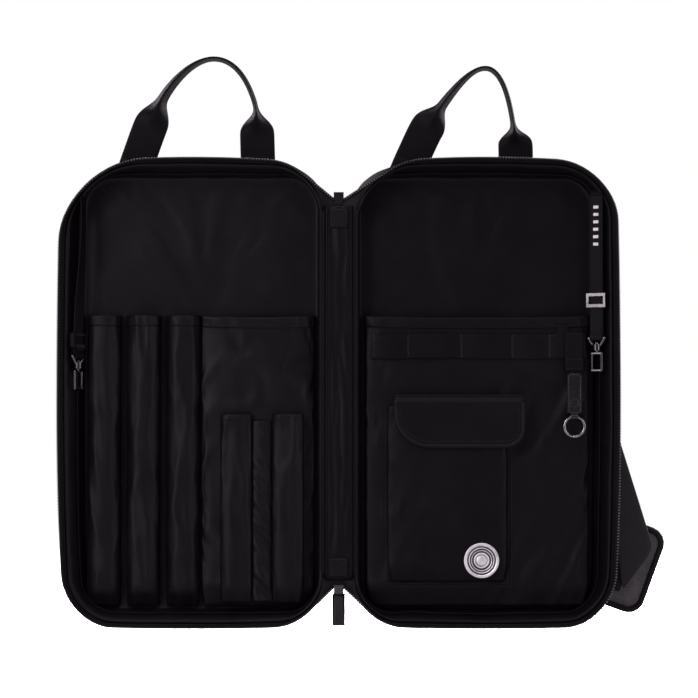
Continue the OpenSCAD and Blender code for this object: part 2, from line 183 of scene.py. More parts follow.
def mesh_fabric_material(name, dark, light):
    """Spacer mesh: rows of small open cells."""
    mat, nt = empty_material(name)
    coords = node(nt, "TexCoord").outputs["Object"]
    cell = node(nt, "TexVoronoi", {"Scale": 420, "Randomness": 0.25, "Vector": coords}).outputs["Distance"]
    tone = calc(nt, "ADD", cell, calc(nt, "MULTIPLY", grain(nt, coords, 14), 0.3))
    return finish_material(mat, nt, {"Base Color": ramp(nt, tone, 0.15, dark, 0.7, light), "Roughness": 0.75,
                                     "Sheen Weight": 0.3, "Normal": bump(nt, cell, 0.0005, 0.9)})


def hard_material(name, dark, light, rough, fine, slow, stops, spread, depth, metallic):
    """Metal or moulded plastic: fine is the noise in its gloss, slow the noise in its colour."""
    mat, nt = empty_material(name)
    coords = node(nt, "TexCoord").outputs["Object"]
    fine = grain(nt, coords, *fine)
    return finish_material(mat, nt, {
        "Base Color": ramp(nt, grain(nt, coords, *slow), stops[0], dark, stops[1], light), "Metallic": metallic,
        "Roughness": calc(nt, "ADD", rough, calc(nt, "MULTIPLY", fine, spread)), "Normal": bump(nt, fine, depth, 0.5)})


def metal_material(name, colour, rough, scratch=0.12):
    return hard_material(name, tuple(c * 0.72 for c in colour), colour, rough, (260, 4, 0.6), (40, 3), (0.3, 0.65),
                         scratch, 0.00004, 1.0)


def plastic_material(name, dark, light, rough):
    return hard_material(name, dark, light, rough, (700, 3), (60, 3), (0.3, 0.7), 0.15, 0.00006, 0.0)


M = {
    "lining": weave_material("lining_cloth", (0.0026, 0.0018, 0.0026), (0.0060, 0.0046, 0.0060), 0.0011,
                             (0.34, 0.44), 0.0, 0.13),
    "lining_right": weave_material("organiser_cloth", (0.0018, 0.0012, 0.0018), (0.0048, 0.0036, 0.0048), 0.0011,
                                   (0.36, 0.47), 0.0, 0.11),
    "outer": weave_material("outer_cloth", (0.006, 0.0056, 0.0062), (0.0115, 0.011, 0.012), 0.0016,
                            (0.5, 0.65), 0.02, 0.16, 0.0002),
    "webbing": weave_material("webbing", (0.0018, 0.0013, 0.0018), (0.0056, 0.0046, 0.0056), 0.0019,
                              (0.36, 0.47), 0.0, 0.075, 0.00035, True),
    "strap": weave_material("shoulder_webbing", (0.006, 0.0052, 0.006), (0.015, 0.0135, 0.015), 0.0019,
                            (0.42, 0.56), 0.04, 0.25, 0.00035, True),
    "tape": weave_material("zip_tape_cloth", (0.0022, 0.0018, 0.0023), (0.0055, 0.0048, 0.0056), 0.0012,
                           (0.45, 0.6), 0.01, 0.13),
    "binding": weave_material("binding_tape", (0.0026, 0.0020, 0.0026), (0.0068, 0.0056, 0.0068), 0.0014,
                              (0.38, 0.5), 0.0, 0.13, 0.00025),
    "thread": weave_material("thread", (0.010, 0.009, 0.010), (0.022, 0.020, 0.022), 0.0006, (0.4, 0.52), 0.02, 0.2),
    "mesh": mesh_fabric_material("spacer_mesh", (0.008, 0.0075, 0.008), (0.05, 0.047, 0.05)),
    "teeth": metal_material("zip_metal", (0.27, 0.26, 0.27), 0.28),
    "chrome": metal_material("bright_plate", (0.30, 0.29, 0.30), 0.16, 0.1),
    "dark_metal": metal_material("black_nickel", (0.11, 0.106, 0.11), 0.17),
    "badge": metal_material("badge_metal", (0.95, 0.94, 0.95), 0.45, 0.08),
    "rubber": plastic_material("moulded_rubber", (0.0026, 0.0024, 0.0027), (0.0056, 0.0052, 0.0057), 0.2),
    "badge_dark": plastic_material("badge_enamel", (0.02, 0.02, 0.021), (0.045, 0.044, 0.046), 0.3),
    "white_ink": plastic_material("woven_white", (0.62, 0.61, 0.62), (0.82, 0.81, 0.82), 0.6),
    "pile": mesh_fabric_material("touch_pile", (0.003, 0.003, 0.003), (0.012, 0.012, 0.012)),
}


# ---------------------------------------------------------------- mesh tools (millimetres in, metres out)
def link(name, data):
    ob = bpy.data.objects.new(name, data)
    bpy.context.scene.collection.objects.link(ob)
    return ob


def add_mesh(name, verts, faces, mat, uvs=None, smooth_shade=True, side=1):
    """Makes a mesh object; side -1 mirrors it to the left half."""
    me = bpy.data.meshes.new(name)
    me.from_pydata((np.array(verts, float).reshape(-1, 3) * (side * MM, MM, MM)).tolist(), [], faces)
    me.update()
    if uvs is not None:
        layer = me.uv_layers.new(name="UVMap")
        for loop in me.loops:
            layer.data[loop.index].uv = uvs[loop.vertex_index]
    me.materials.append(mat)
    for p in me.polygons:
        p.use_smooth = smooth_shade
    return link(name, me)


def grid_faces(nu, nv, closed_u=False, closed_v=False, flip=False, start=0):
    faces = []
    for i in range(nu if closed_u else nu - 1):
        for j in range(nv if closed_v else nv - 1):
            a, b = start + i * nv + j, start + ((i + 1) % nu) * nv + j
            c, d = start + ((i + 1) % nu) * nv + (j + 1) % nv, start + i * nv + (j + 1) % nv
            faces.append((a, d, c, b) if flip else (a, b, c, d))
    return faces


def tube_faces(n, m):
    """Faces of n rings of m points, with both ends closed."""
    ends = [tuple(range(m - 1, -1, -1)), tuple((n - 1) * m + k for k in range(m))]
    return grid_faces(n, m, closed_v=True) + ends


def solidify(ob, thickness, offset):
    m = ob.modifiers.new("thick", "SOLIDIFY")
    m.thickness, m.offset, m.use_even_offset = thickness * MM, offset, False


def subdivide(ob):
    ob.modifiers.new("sub", "SUBSURF").render_levels = 1


def place(ob, body, slot, *nodes):
    """Rides ob on a body and lets it stand for the named CAD nodes."""
    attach(ob, body)
    if nodes:
        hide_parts(*nodes)
    return ob


def merge(ob, dist):
    """Joins points closer than dist mm, if it isn't 0, and turns all faces outwards."""
    bm = bmesh.new()
    bm.from_mesh(ob.data)
    if dist:
        bmesh.ops.remove_doubles(bm, verts=bm.verts, dist=dist * MM)
    bmesh.ops.recalc_face_normals(bm, faces=bm.faces)
    bm.to_mesh(ob.data)
    bm.free()
    return ob


def unit_rows(rows):
    return rows / np.linalg.norm(rows, axis=1)[:, None]


def distances(path):
    """Distance along a path to each of its points."""
    return np.concatenate([[0], np.cumsum(np.linalg.norm(np.diff(path, axis=0), axis=1))])


def at_depth(y, xz):
    """(x, z) rows as points at depth y."""
    return np.array([(x, y, z) for x, z in xz])


def arc(cx, cz, r, start, stop, n, whole=True):
    """n + 1 points of an arc, angles in degrees; without the last point unless whole."""
    angles = [math.radians(start + (stop - start) * k / n) for k in range(n + whole)]
    return [(cx + r * math.cos(a), cz + r * math.sin(a)) for a in angles]


def wrinkle(p, scale, seed, octaves=3):
    """Smooth noise in -1..1 at a point in mm."""
    v, amp, total = 0.0, 1.0, 0.0
    q = Vector((p[0] / scale + seed, p[1] / scale + seed * 0.7, p[2] / scale - seed))
    for _ in range(octaves):
        v += amp * noise.noise(q)
        total += amp
        q = q * 2.03
        amp *= 0.5
    return v / total


def crease(x, z, angle, gap, seed):
    """Long soft creases: their direction is angle degrees from vertical, gap mm apart."""
    c, s = math.cos(math.radians(angle)), math.sin(math.radians(angle))
    across, along = x * c + z * s, -x * s + z * c
    drift = 0.25 * noise.noise(Vector((along / 60, seed, 1.0)))
    return 1 - 2 * min(1.0, abs(noise.noise(Vector((across / gap + drift, along / (gap * 7), seed)))) * 2.2)


# ---------------------------------------------------------------- tray outline
RING_COUNTS = (38, 14, 24, 14, 38, 14, 24, 14)   # spine side, corner, top, corner, side, corner, bottom, corner
N_RING = sum(RING_COUNTS)
SPINE_N = RING_COUNTS[0]
TOP_MID = SPINE_N + RING_COUNTS[1] + RING_COUNTS[2] // 2
# how much wider than the shell the slack rim turns: spine-top, outer-top, outer-bottom and spine-bottom corners
RIM_SLACK = {"left": (8.0, 38.0, 6.0, 4.0), "right": (24.0, 14.0, 6.0, 4.0)}
RIM_SAG_TOP, RIM_SAG_BOTTOM, RIM_BELLY = 7.0, 2.5, 3.0


def shrink(y, total):
    return total * (np.minimum(y, EDGE_Y) - RIM_Y) / (EDGE_Y - RIM_Y)


def tray_ring(y, inset, slack=(0.0, 0.0, 0.0, 0.0)):
    """Closed outline of the right tray at depth y, inset from the outer face, as (x, z) rows."""
    e = shrink(y, LEAN_Z) + inset
    x0, x1 = HINGE + inset, RIM_X - shrink(y, LEAN_X) - inset
    z1 = RIM_Z - e
    near = 1 - min(max((y - RIM_Y) / (EDGE_Y - RIM_Y), 0.0), 1.0)
    ra, rb, rc, rd = (max(CORNER + k * near - e, 4.0) for k in slack)
    n = RING_COUNTS

    def line(a, b, count):
        return [(a[0] + (b[0] - a[0]) * k / count, a[1] + (b[1] - a[1]) * k / count) for k in range(count)]

    pts = np.array(line((x0, -z1 + rd), (x0, z1 - ra), n[0]) + arc(x0 + ra, z1 - ra, ra, 180, 90, n[1], False)
                   + line((x0 + ra, z1), (x1 - rb, z1), n[2]) + arc(x1 - rb, z1 - rb, rb, 90, 0, n[3], False)
                   + line((x1, z1 - rb), (x1, -z1 + rc), n[4]) + arc(x1 - rc, -z1 + rc, rc, 0, -90, n[5], False)
                   + line((x1 - rc, -z1), (x0 + rd, -z1), n[6]) + arc(x0 + rd, -z1 + rd, rd, -90, -180, n[7], False))
    # the soft rim sags towards its corners and bellies out along its free side
    u = (pts[:, 0] - (x0 + x1) / 2) / ((x1 - x0) / 2)
    v = pts[:, 1] / z1
    pts[:, 1] -= near * u * u * np.where(v > 0, RIM_SAG_TOP, -RIM_SAG_BOTTOM) * smooth(0.55, 1.0, np.abs(v))
    belly = RIM_BELLY - np.where(v > 0, 3.0, 7.5) * v * v
    pts[:, 0] += (0.4 + 0.6 * near) * belly * smooth(0.55, 1.0, u)
    return pts


def ring_normals(ring):
    """Outward unit normals of a closed outline."""
    d = np.roll(ring, -1, 0) - np.roll(ring, 1, 0)
    return unit_rows(np.stack([-d[:, 1], d[:, 0]], 1))


def inner_ring(last):
    """Narrow ellipse in the middle of the back panel, point for point with the ring round it."""
    mid_x = (last[:, 0].min() + last[:, 0].max()) / 2
    reach = last[:, 2].max() - (last[:, 0].max() - last[:, 0].min()) / 2 + 45
    a = 2 * math.pi * (np.arange(N_RING) - TOP_MID) / N_RING
    return np.stack([mid_x + 9 * np.sin(a), np.zeros(N_RING), reach * np.cos(a)], 1)


def spine_share(ring):
    """1 on the straight spine side, 0 elsewhere, with a short ramp near its ends."""
    near = 1 - smooth(3.0, 9.0, ring[:, 0] - ring[:, 0].min())
    return near * (1 - smooth(STRAIGHT - 10, STRAIGHT + 3, np.abs(ring[:, 1])))


def calm_near_spine(x_from_hinge):
    """1 away from the spine side, falling to 0.15 beside it."""
    return 1 - 0.85 * smooth(24, 8, x_from_hinge)


def ring_sheet(name, grid, mat, side, flip, whole=False):
    """Rows of ring points as a sheet; a whole one is closed round the ring and over its middle."""
    nu, nv = grid.shape[:2]
    faces = grid_faces(nu, nv, closed_v=whole, flip=flip)
    base = (nu - 1) * nv
    for k in range(nv // 2 if whole else 0):
        quad = list(dict.fromkeys([base + (TOP_MID + k) % nv, base + (TOP_MID - k) % nv,
                                   base + (TOP_MID - k - 1) % nv, base + (TOP_MID + k + 1) % nv]))
        faces.append(tuple(quad[::-1]) if flip else tuple(quad))
    return add_mesh(name, grid, faces, mat, side=side)


# ---------------------------------------------------------------- swept strips
def strip_section(width, thick, n=9):
    """Closed cross-section of webbing: flat faces, rounded selvedges, as (across, normal) rows."""
    half, r = width / 2, thick / 2
    top = [(-half + r + (width - thick) * k / (n - 1), r) for k in range(n)]
    end = [(half - r + r * math.cos(a), r * math.sin(a)) for a in (math.pi / 4, 0, -math.pi / 4)]
    return np.array(top + end + [(-a, -b) for a, b in top + end])


def ribbon(name, path, across, width, thick, mat, body, *nodes, side=1, widths=None, slot="webbing"):
    """Webbing swept along a path. Its UV runs along and across it in metres."""
    path = np.array(path, float)
    tan = unit_rows(np.gradient(path, axis=0))
    across = np.broadcast_to(np.array(across, float), path.shape).copy()
    across -= (across * tan).sum(1)[:, None] * tan
    across = unit_rows(across)
    normal = np.cross(tan, across)
    length, section = distances(path), strip_section(width, thick)
    verts, uvs = [], []
    for i in range(len(path)):
        f = 1.0 if widths is None else widths[i] / width
        for s, t in section:
            verts.append(path[i] + across[i] * s * f + normal[i] * t)
            uvs.append((length[i] * MM, s * MM))
    ob = add_mesh(name, verts, tube_faces(len(path), len(section)), mat, uvs, side=side)
    return place(merge(ob, 0.005), body, slot, *nodes)


def tube(name, path, radius, mat, body=None, slot="binding_tape", side=1, segments=8, closed=False, squash_y=1.0):
    """Round cord along a path, on a body unless the caller bakes it in place instead."""
    path = np.array(path, float)
    tan = unit_rows(np.roll(path, -1, 0) - np.roll(path, 1, 0) if closed else np.gradient(path, axis=0))
    verts = []
    for p, t in zip(path, tan):
        a = np.cross(t, FACING if abs(t @ FACING) < 0.9 else np.array([1.0, 0.0, 0.0]))
        a /= np.linalg.norm(a)
        b = np.cross(t, a)
        for k in range(segments):
            ang = 2 * math.pi * k / segments
            verts.append(p + radius * (a * math.cos(ang) + b * math.sin(ang) * squash_y))
    sizes = len(path), segments
    faces = grid_faces(*sizes, closed_u=True, closed_v=True) if closed else tube_faces(*sizes)
    ob = merge(add_mesh(name, verts, faces, mat, side=side), 0.001)
    return place(ob, body, slot) if body else ob


def resample(path, step):
    path = np.array(path, float)
    d = distances(path)
    s = np.linspace(0, d[-1], max(2, int(round(d[-1] / step)) + 1))
    return np.stack([np.interp(s, d, path[:, k]) for k in range(3)], 1)


def stitches(name, rows, body, length=2.3, pitch=3.4, radius=0.32, side=1):
    """Rows of thread: each stitch is a short spindle lying along its row."""
    verts, faces = [], []
    for row in rows:
        pts = resample(row, pitch)
        for a, b in zip(pts[:-1], pts[1:]):
            d = (b - a) / np.linalg.norm(b - a)
            mid = (a + b) / 2
            u = np.cross(d, FACING if abs(d[1]) < 0.9 else np.array([1.0, 0, 0]))
            u /= np.linalg.norm(u)
            v = np.cross(d, u)
            s = len(verts)
            verts.append(mid - d * length / 2)
            for off in (-0.28, 0.28):
                for k in range(5):
                    ang = 2 * math.pi * k / 5
                    verts.append(mid + d * length * off + radius * (u * math.cos(ang) + v * math.sin(ang)))
            verts.append(mid + d * length / 2)
            for k in range(5):
                k2 = (k + 1) % 5
                faces += [(s, s + 1 + k2, s + 1 + k), (s + 1 + k, s + 1 + k2, s + 6 + k2, s + 6 + k),
                          (s + 11, s + 6 + k, s + 6 + k2)]
    place(add_mesh(name, verts, faces, M["thread"], side=side), body, "webbing")


def surface_points(ob, points, lift, default):
    """(x, z) points moved lift mm in front of the first surface of ob met from the front."""
    tree = BVHTree.FromObject(ob, bpy.context.evaluated_depsgraph_get())
    out = []
    for x, z in points:
        hit = tree.ray_cast(Vector((x * MM, -0.2, z * MM)), Vector((0, 1, 0)))[0]
        y = hit.y / MM if hit is not None else out[-1][1] + lift if out else default
        out.append((x, y - lift, z))
    return np.array(out)


# ---------------------------------------------------------------- cloth simulation
CLOTH_FRAMES = 22
_cloth = []


def drape(ob, pins, cap, bend, depths, shrink_by=-0.012, pressure=0.0):
    """Registers a sheet: pins is a weight per vertex, cap the furthest travel and depths the y limits, in mm."""
    group = ob.vertex_groups.new(name="pin")
    for i, w in enumerate(pins):
        group.add([i], float(w), "REPLACE")
    mod = ob.modifiers.new("cloth", "CLOTH")
    s = mod.settings
    s.quality = 5
    s.mass = 0.2
    s.tension_stiffness = s.compression_stiffness = 12.0
    s.shear_stiffness = 6.0
    s.bending_stiffness = bend
    s.vertex_group_mass = "pin"
    s.shrink_min = shrink_by
    s.use_pressure = pressure != 0
    s.uniform_pressure_force = pressure
    s.effector_weights.gravity = 0.0
    s.air_damping = 6
    mod.collision_settings.use_collision = False
    _cloth.append((ob, cap, depths))


def run_cloth():
    """Steps every registered sheet together, then applies what it did."""
    scene = bpy.context.scene
    for ob, _, _ in _cloth:
        cache = ob.modifiers["cloth"].point_cache
        cache.frame_start, cache.frame_end = 1, CLOTH_FRAMES
    for f in range(1, CLOTH_FRAMES + 1):
        scene.frame_set(f)
        bpy.context.view_layer.update()
    dg = bpy.context.evaluated_depsgraph_get()
    for ob, cap, depths in _cloth:
        rest = np.array([v.co for v in ob.data.vertices], float)
        d = np.array([v.co for v in ob.evaluated_get(dg).to_mesh().vertices], float) - rest
        size = np.linalg.norm(d, axis=1)
        new = rest + d * np.minimum(1.0, cap * MM / np.maximum(size, 1e-9))[:, None]
        new[:, 1] = np.clip(new[:, 1], depths[0] * MM, depths[1] * MM)
        for v, co in zip(ob.data.vertices, new):
            v.co = co
        ob.evaluated_get(dg).to_mesh_clear()
        ob.modifiers.remove(ob.modifiers["cloth"])
    scene.frame_set(1)


# ---------------------------------------------------------------- padded halves
OUTER_ROWS = [(0.0, 0.5, EDGE_Y, 0), (0.06, 0.1, EDGE_Y, 0), (0.2, -0.7, EDGE_Y, 0), (0.4, -1.3, EDGE_Y, 0),
              (0.6, -1.4, EDGE_Y, 0), (0.8, -0.9, EDGE_Y, 0), (0.95, -0.1, EDGE_Y, 0), (1.0, 0.5, EDGE_Y + 0.6, 0),
              (1.0, 1.6, EDGE_Y + 2.4, 0), (1.0, 3.2, BACK_Y - 1.2, 0), (1.0, 6.0, BACK_Y - 0.6, 0)]
LINING_ROWS = [(0.0, 1.9, SEAT_Y, 0.2), (0.0, 2.6, SEAT_Y, -1.0), (0.0, 3.9, SEAT_Y, -1.5), (0.0, 5.2, SEAT_Y, -0.7),
               (0.07, 6.0, SEAT_Y, 0), (0.2, 6.6, SEAT_Y, 0), (0.34, 6.7, SEAT_Y, 0), (0.46, 6.2, SEAT_Y, 0),
               (0.56, 5.5, SEAT_Y, 0), (0.66, 6.1, SEAT_Y, 0), (0.8, 6.3, SEAT_Y, 0), (0.92, 6.2, SEAT_Y, 0),
               (0.985, 7.0, SEAT_Y, 0), (1.0, 9.5, SEAT_Y + 0.1, 0), (1.0, 14.0, SEAT_Y + 0.1, 0)]
LINING_WAVE = 1.6
SEAM_Y = 10.0                          # depth of the bound seam round the inside
TOOTH_PITCH = 2.9
# one tooth in four steps: depth, half its length along the chain, half its width
TOOTH_STEPS = ((2.6, 0.55, 0.7), (2.0, 0.66, 0.85), (0.95, 0.62, 0.85), (0.3, 0.36, 0.6))
BEAD = 1.3                             # radius of the tape's corded edge
slide_lo, slide_hi = box_mm("top_slider")
SLIDER = (3.2, (slide_lo[2] + slide_hi[2]) / 2 - 2)      # where the chain enters the slider, as (x, z)
SLIDER_Y = slide_lo[1] + 2


def waves(p, seed):
    return wrinkle(p, 46, seed, 3) + 0.5 * wrinkle(p, 17, seed + 7, 2)


def tray_grid(rows, centre_rows, crown, seed, wave, wall_wave, sign, slack):
    """Rows are (t, inset, y_end, dy): t runs from the top of the wall to y_end, dy lifts the row."""
    y_top = TOP_Y + (0.35 - TOP_Y) * spine_share(tray_ring(TOP_Y, 0, slack))
    grid = []
    for t, inset, y_end, dy in rows:
        y = y_top + (y_end - y_top) * t + dy
        f = np.clip((y - RIM_Y) / (EDGE_Y - RIM_Y), 0, 1)[:, None]
        xz = tray_ring(RIM_Y, inset, slack) * (1 - f) + tray_ring(EDGE_Y, inset) * f
        grid.append(np.stack([xz[:, 0], y, xz[:, 1]], 1))
    last = grid[-1]
    inner = inner_ring(last)
    for k in range(1, centre_rows + 1):
        t = k / centre_rows
        pts = last * (1 - t) + inner * t
        pts[:, 1] = last[:, 1] + crown * (1 - (1 - t) ** 2)
        grid.append(pts)
    grid = np.array(grid)
    nrm = ring_normals(tray_ring(EDGE_Y, 10))
    calm = calm_near_spine(tray_ring(EDGE_Y, 0)[:, 0] - HINGE)
    for a in range(grid.shape[0]):
        fade = min(1.0, a / 3.0) * min(1.0, (len(rows) - 1 - a) / 2.0 + 0.2)
        for i in range(N_RING):
            w = waves(grid[a, i], seed) * sign
            if a < len(rows):
                grid[a, i, ::2] += nrm[i] * w * wall_wave * fade * calm[i]
            else:
                grid[a, i, 1] += w * wave
    return grid


def zip_chain(name, paths, side):
    """One small moulded block for each tooth along the paths, turning with the curve."""
    verts, faces = [], []
    for path in paths:
        for p, t in zip(path, unit_rows(np.gradient(path, axis=0))):
            n = np.cross(t, FACING)
            n /= np.linalg.norm(n)
            s = len(verts)
            for y, along, across in TOOTH_STEPS:
                for a, b in ((-1, -1), (1, -1), (1, 1), (-1, 1)):
                    verts.append(p + t * a * along + n * b * across + FACING * y)
            for k in range(3):
                for j in range(4):
                    a, b = s + k * 4 + j, s + k * 4 + (j + 1) % 4
                    faces.append((a, b, b + 4, a + 4))
            faces += [(s + 3, s + 2, s + 1, s), (s + 12, s + 13, s + 14, s + 15)]
    return merge(add_mesh(name, verts, faces, M["teeth"], smooth_shade=False, side=side), 0.001)


def build_shell(side_name, seed, cloth, slack):
    """Outer cover and lining of one half; returns the lining, which still has to be thickened."""
    side, body = SIDES[side_name], side_name + "_half"
    grid = tray_grid(OUTER_ROWS, 13, 0.9, seed, 0.8, 0.9, 1, slack)
    outer = merge(ring_sheet(side_name + "_outer_cover", grid, M["outer"], side, side > 0, whole=True), 0.01)
    solidify(outer, 0.95, -1.0)
    subdivide(outer)
    place(outer, body, "outer_fabric", side_name + "_outer", side_name + "_foam", side_name + "_board")
    grid = tray_grid(LINING_ROWS, 15, -0.3, seed + 20, 0.7, LINING_WAVE, -1, slack)
    lining = ring_sheet(side_name + "_lining_cloth", grid, cloth, side, side < 0, whole=True)
    rows, walls = np.repeat(np.arange(grid.shape[0]), N_RING), len(LINING_ROWS)
    pins = np.where(rows < walls - 1, 1.0, np.where(rows < walls + 1, 0.6, 0.0))
    drape(lining, pins, cap=0.3, bend=1.0, depths=(TOP_Y - 4, SEAT_Y + 0.4))
    return place(lining, body, "lining_fabric", side_name + "_lining")


def build_zip(side_name, slack):
    """Tape, corded seam, bead, teeth, and the ends that cross from the rim to the sliders on the spine."""
    side, body = SIDES[side_name], side_name + "_half"
    # the zip leaves the rim where a straight line from the slider touches each spine-side corner
    rim = tray_ring(RIM_Y, 1.0, slack)
    first = max(range(SPINE_N, SPINE_N + RING_COUNTS[1]),
                key=lambda i: math.atan2(rim[i, 1] - SLIDER[1], rim[i, 0] - SLIDER[0]))
    last = max(range(N_RING - RING_COUNTS[7], N_RING),
               key=lambda i: math.atan2(-rim[i, 1] - SLIDER[1], rim[i, 0] - SLIDER[0]))

    def along_rim(y, inset):
        return at_depth(y, tray_ring(y, inset, slack)[first:last + 1])

    tape_rows = ((TOP_Y + 0.3, 1.0), (TOP_Y - 2.5, 1.25), (TOP_Y - 5, 1.2), (RIM_Y + 2.6, 1.05))
    tape = ring_sheet(side_name + "_zip_tape_cloth", np.array([along_rim(y, inset) for y, inset in tape_rows]),
                      M["tape"], side, side > 0)
    solidify(tape, 0.9, 0.0)
    place(tape, body, "webbing", side_name + "_zip_tape")
    for label, y, inset, r, slot in (("cord_inner", TOP_Y - 0.6, 2.9, 0.8, "binding_tape"),
                                     ("cord_outer", TOP_Y - 0.2, -0.2, 0.8, "binding_tape"),
                                     ("beaded_edge", RIM_Y + 2.2, 1.0, BEAD, "webbing")):
        tube(side_name + "_zip_" + label, along_rim(y, inset), r, M["tape"], body, slot, side)
    place(zip_chain(side_name + "_zip_chain", [resample(along_rim(RIM_Y, 1.0), TOOTH_PITCH)], side), body, "zip_teeth",
          side_name + "_zip_teeth")
    seams = [along_rim(TOP_Y - 3.0, 0.45), along_rim(TOP_Y - 3.2, 1.95)]
    stitches(side_name + "_seam_stitches", seams, body, side=side)

    def bends(piece):
        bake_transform(piece)

    # at both ends of the spine the zip crosses to its slider over a small cloth gusset
    share = spine_share(tray_ring(TOP_Y, 0, slack))
    verts, faces, teeth_ends = [], [], []
    for end, sign, ring in (("top", 1, list(range(first, SPINE_N - 1, -1))),
                            ("bottom", -1, [i % N_RING for i in range(last, N_RING + 1)])):
        a = np.array([rim[ring[0], 0], RIM_Y, rim[ring[0], 1]])
        t = np.linspace(0, 1, 22)[:, None]
        line = a * (1 - t) + np.array([SLIDER[0], SLIDER_Y, sign * SLIDER[1]]) * t
        line[:, 1] = RIM_Y + (SLIDER_Y - RIM_Y) * t[:, 0] ** 1.6
        wall = tray_ring(TOP_Y, 1.6, slack)[ring]
        foot = np.stack([wall[:, 0], TOP_Y + (0.2 - TOP_Y) * share[ring], wall[:, 1]], 1)
        foot = np.vstack([foot, [(9.0, -0.5, sign * (STRAIGHT - 1.5)), (SLIDER[0], -0.5, sign * (STRAIGHT - 1.5))]])
        foot = resample(foot, distances(foot)[-1] / 21)
        faces += grid_faces(6, 22, start=len(verts) * 22)
        verts += [(line + FACING * 2.4) * (1 - u) + foot * u - FACING * 1.2 * math.sin(math.pi * u)
                  for u in np.linspace(0, 1, 6)]
        bends(tube("%s_zip_bead_%s" % (side_name, end), line + FACING * 2.2, BEAD, M["tape"], side=side))
        teeth_ends.append(resample(line, TOOTH_PITCH)[1:-1])
    sheet = add_mesh(side_name + "_zip_gusset", verts, faces, M["tape"], side=side)
    solidify(sheet, 0.8, 0.0)
    bends(sheet)
    bends(zip_chain(side_name + "_zip_chain_ends", teeth_ends, side))


def build_seams(side_name, seed, slack):
    """Binding over the raw seam inside, and piping round the back panel."""
    side, body = SIDES[side_name], side_name + "_half"
    section = [(2.0 * math.cos(2 * math.pi * k / 12), 0.7 * math.sin(2 * math.pi * k / 12)) for k in range(12)]
    base = tray_ring(SEAM_Y, WALL + 0.95, slack)
    calm = calm_near_spine(base[:, 0] - HINGE - WALL)
    pts = []
    for (x, z), (nx, nz), c in zip(base, ring_normals(base), calm):
        dip = 1.4 * wrinkle((x, 0, z), 34, seed + 3)
        follow = -LINING_WAVE * c * waves((x, SEAM_Y, z), seed + 20)
        pts += [(x + nx * (dn + follow), SEAM_Y + dy + dip, z + nz * (dn + follow)) for dy, dn in section]
    binding = add_mesh(side_name + "_seam_tape", pts, grid_faces(N_RING, 12, closed_u=True, closed_v=True), M["tape"],
                       side=side)
    place(merge(binding, 0.001), body, "binding_tape", side_name + "_binding")
    tube(side_name + "_back_piping", at_depth(EDGE_Y + 2.6, tray_ring(EDGE_Y, 1.4)), 1.5, M["binding"], body, side=side,
         segments=10, closed=True)


linings = []
for s, seed, cloth in (("left", 3.1, "lining"), ("right", 11.7, "lining_right")):
    linings.append(build_shell(s, seed, M[cloth], RIM_SLACK[s]))
    build_zip(s, RIM_SLACK[s])
    build_seams(s, seed, RIM_SLACK[s])


# ---------------------------------------------------------------- pockets
def pocket_sheet(name, node_name, lo, hi, power, seed, creases, wave=0.6, nu=23, foot=22.0, foot_depth=0.35,
                 top_sag=0.0, cap=1.2, shrink_by=-0.015, side_name="left"):
    """Pocket front: rounded across by power, gathered into its bottom seam."""
    xc, hw = (lo[0] + hi[0]) / 2, (hi[0] - lo[0]) / 2
    nv = int((hi[2] - lo[2]) / 7.0) + 1
    grid = np.zeros((nu, nv, 3))
    for i in range(nu):
        u = -1 + 2 * i / (nu - 1)
        phi = u * math.pi / 2
        sx = math.copysign(abs(math.sin(phi)) ** power[0], phi)
        sy = max(math.cos(phi), 0.0) ** power[1]
        for j in range(nv):
            v = j / (nv - 1)
            z = lo[2] + (hi[2] - lo[2]) * v - top_sag * math.cos(phi) * v ** 6
            foot_t = float(smooth(0, foot, z - lo[2]))
            x = xc + hw * sx * (0.96 + 0.04 * foot_t)
            y = hi[1] - (hi[1] - lo[1]) * (foot_depth + (1 - foot_depth) * foot_t) * sy
            w = wrinkle((x * 1.6, y, z * 0.42), 26, seed, 3)
            gather = (1 - foot_t) * math.sin(u * 9 + seed) * 0.9
            y += (w * wave + gather) * sy + creases(x, z) * sy
            grid[i, j] = (x, min(max(y, lo[1] + 0.3), hi[1]), z)
    right = side_name == "right"
    ob = add_mesh(name, grid, grid_faces(nu, nv), M["lining_right" if right else "lining"])
    pins = np.zeros((nu, nv))
    pins[0, :] = pins[-1, :] = pins[:, 0] = 1
    pins[1, :] = pins[-2, :] = 0.8
    pins[:, 1] = np.maximum(pins[:, 1], 0.6)
    pins[:, -1] = np.maximum(pins[:, -1], 0.5)
    drape(ob, pins.ravel(), cap=cap, bend=0.2, depths=(lo[1] + 0.3, hi[1]), shrink_by=shrink_by)
    return place(ob, side_name + "_half", "lining_fabric", node_name)


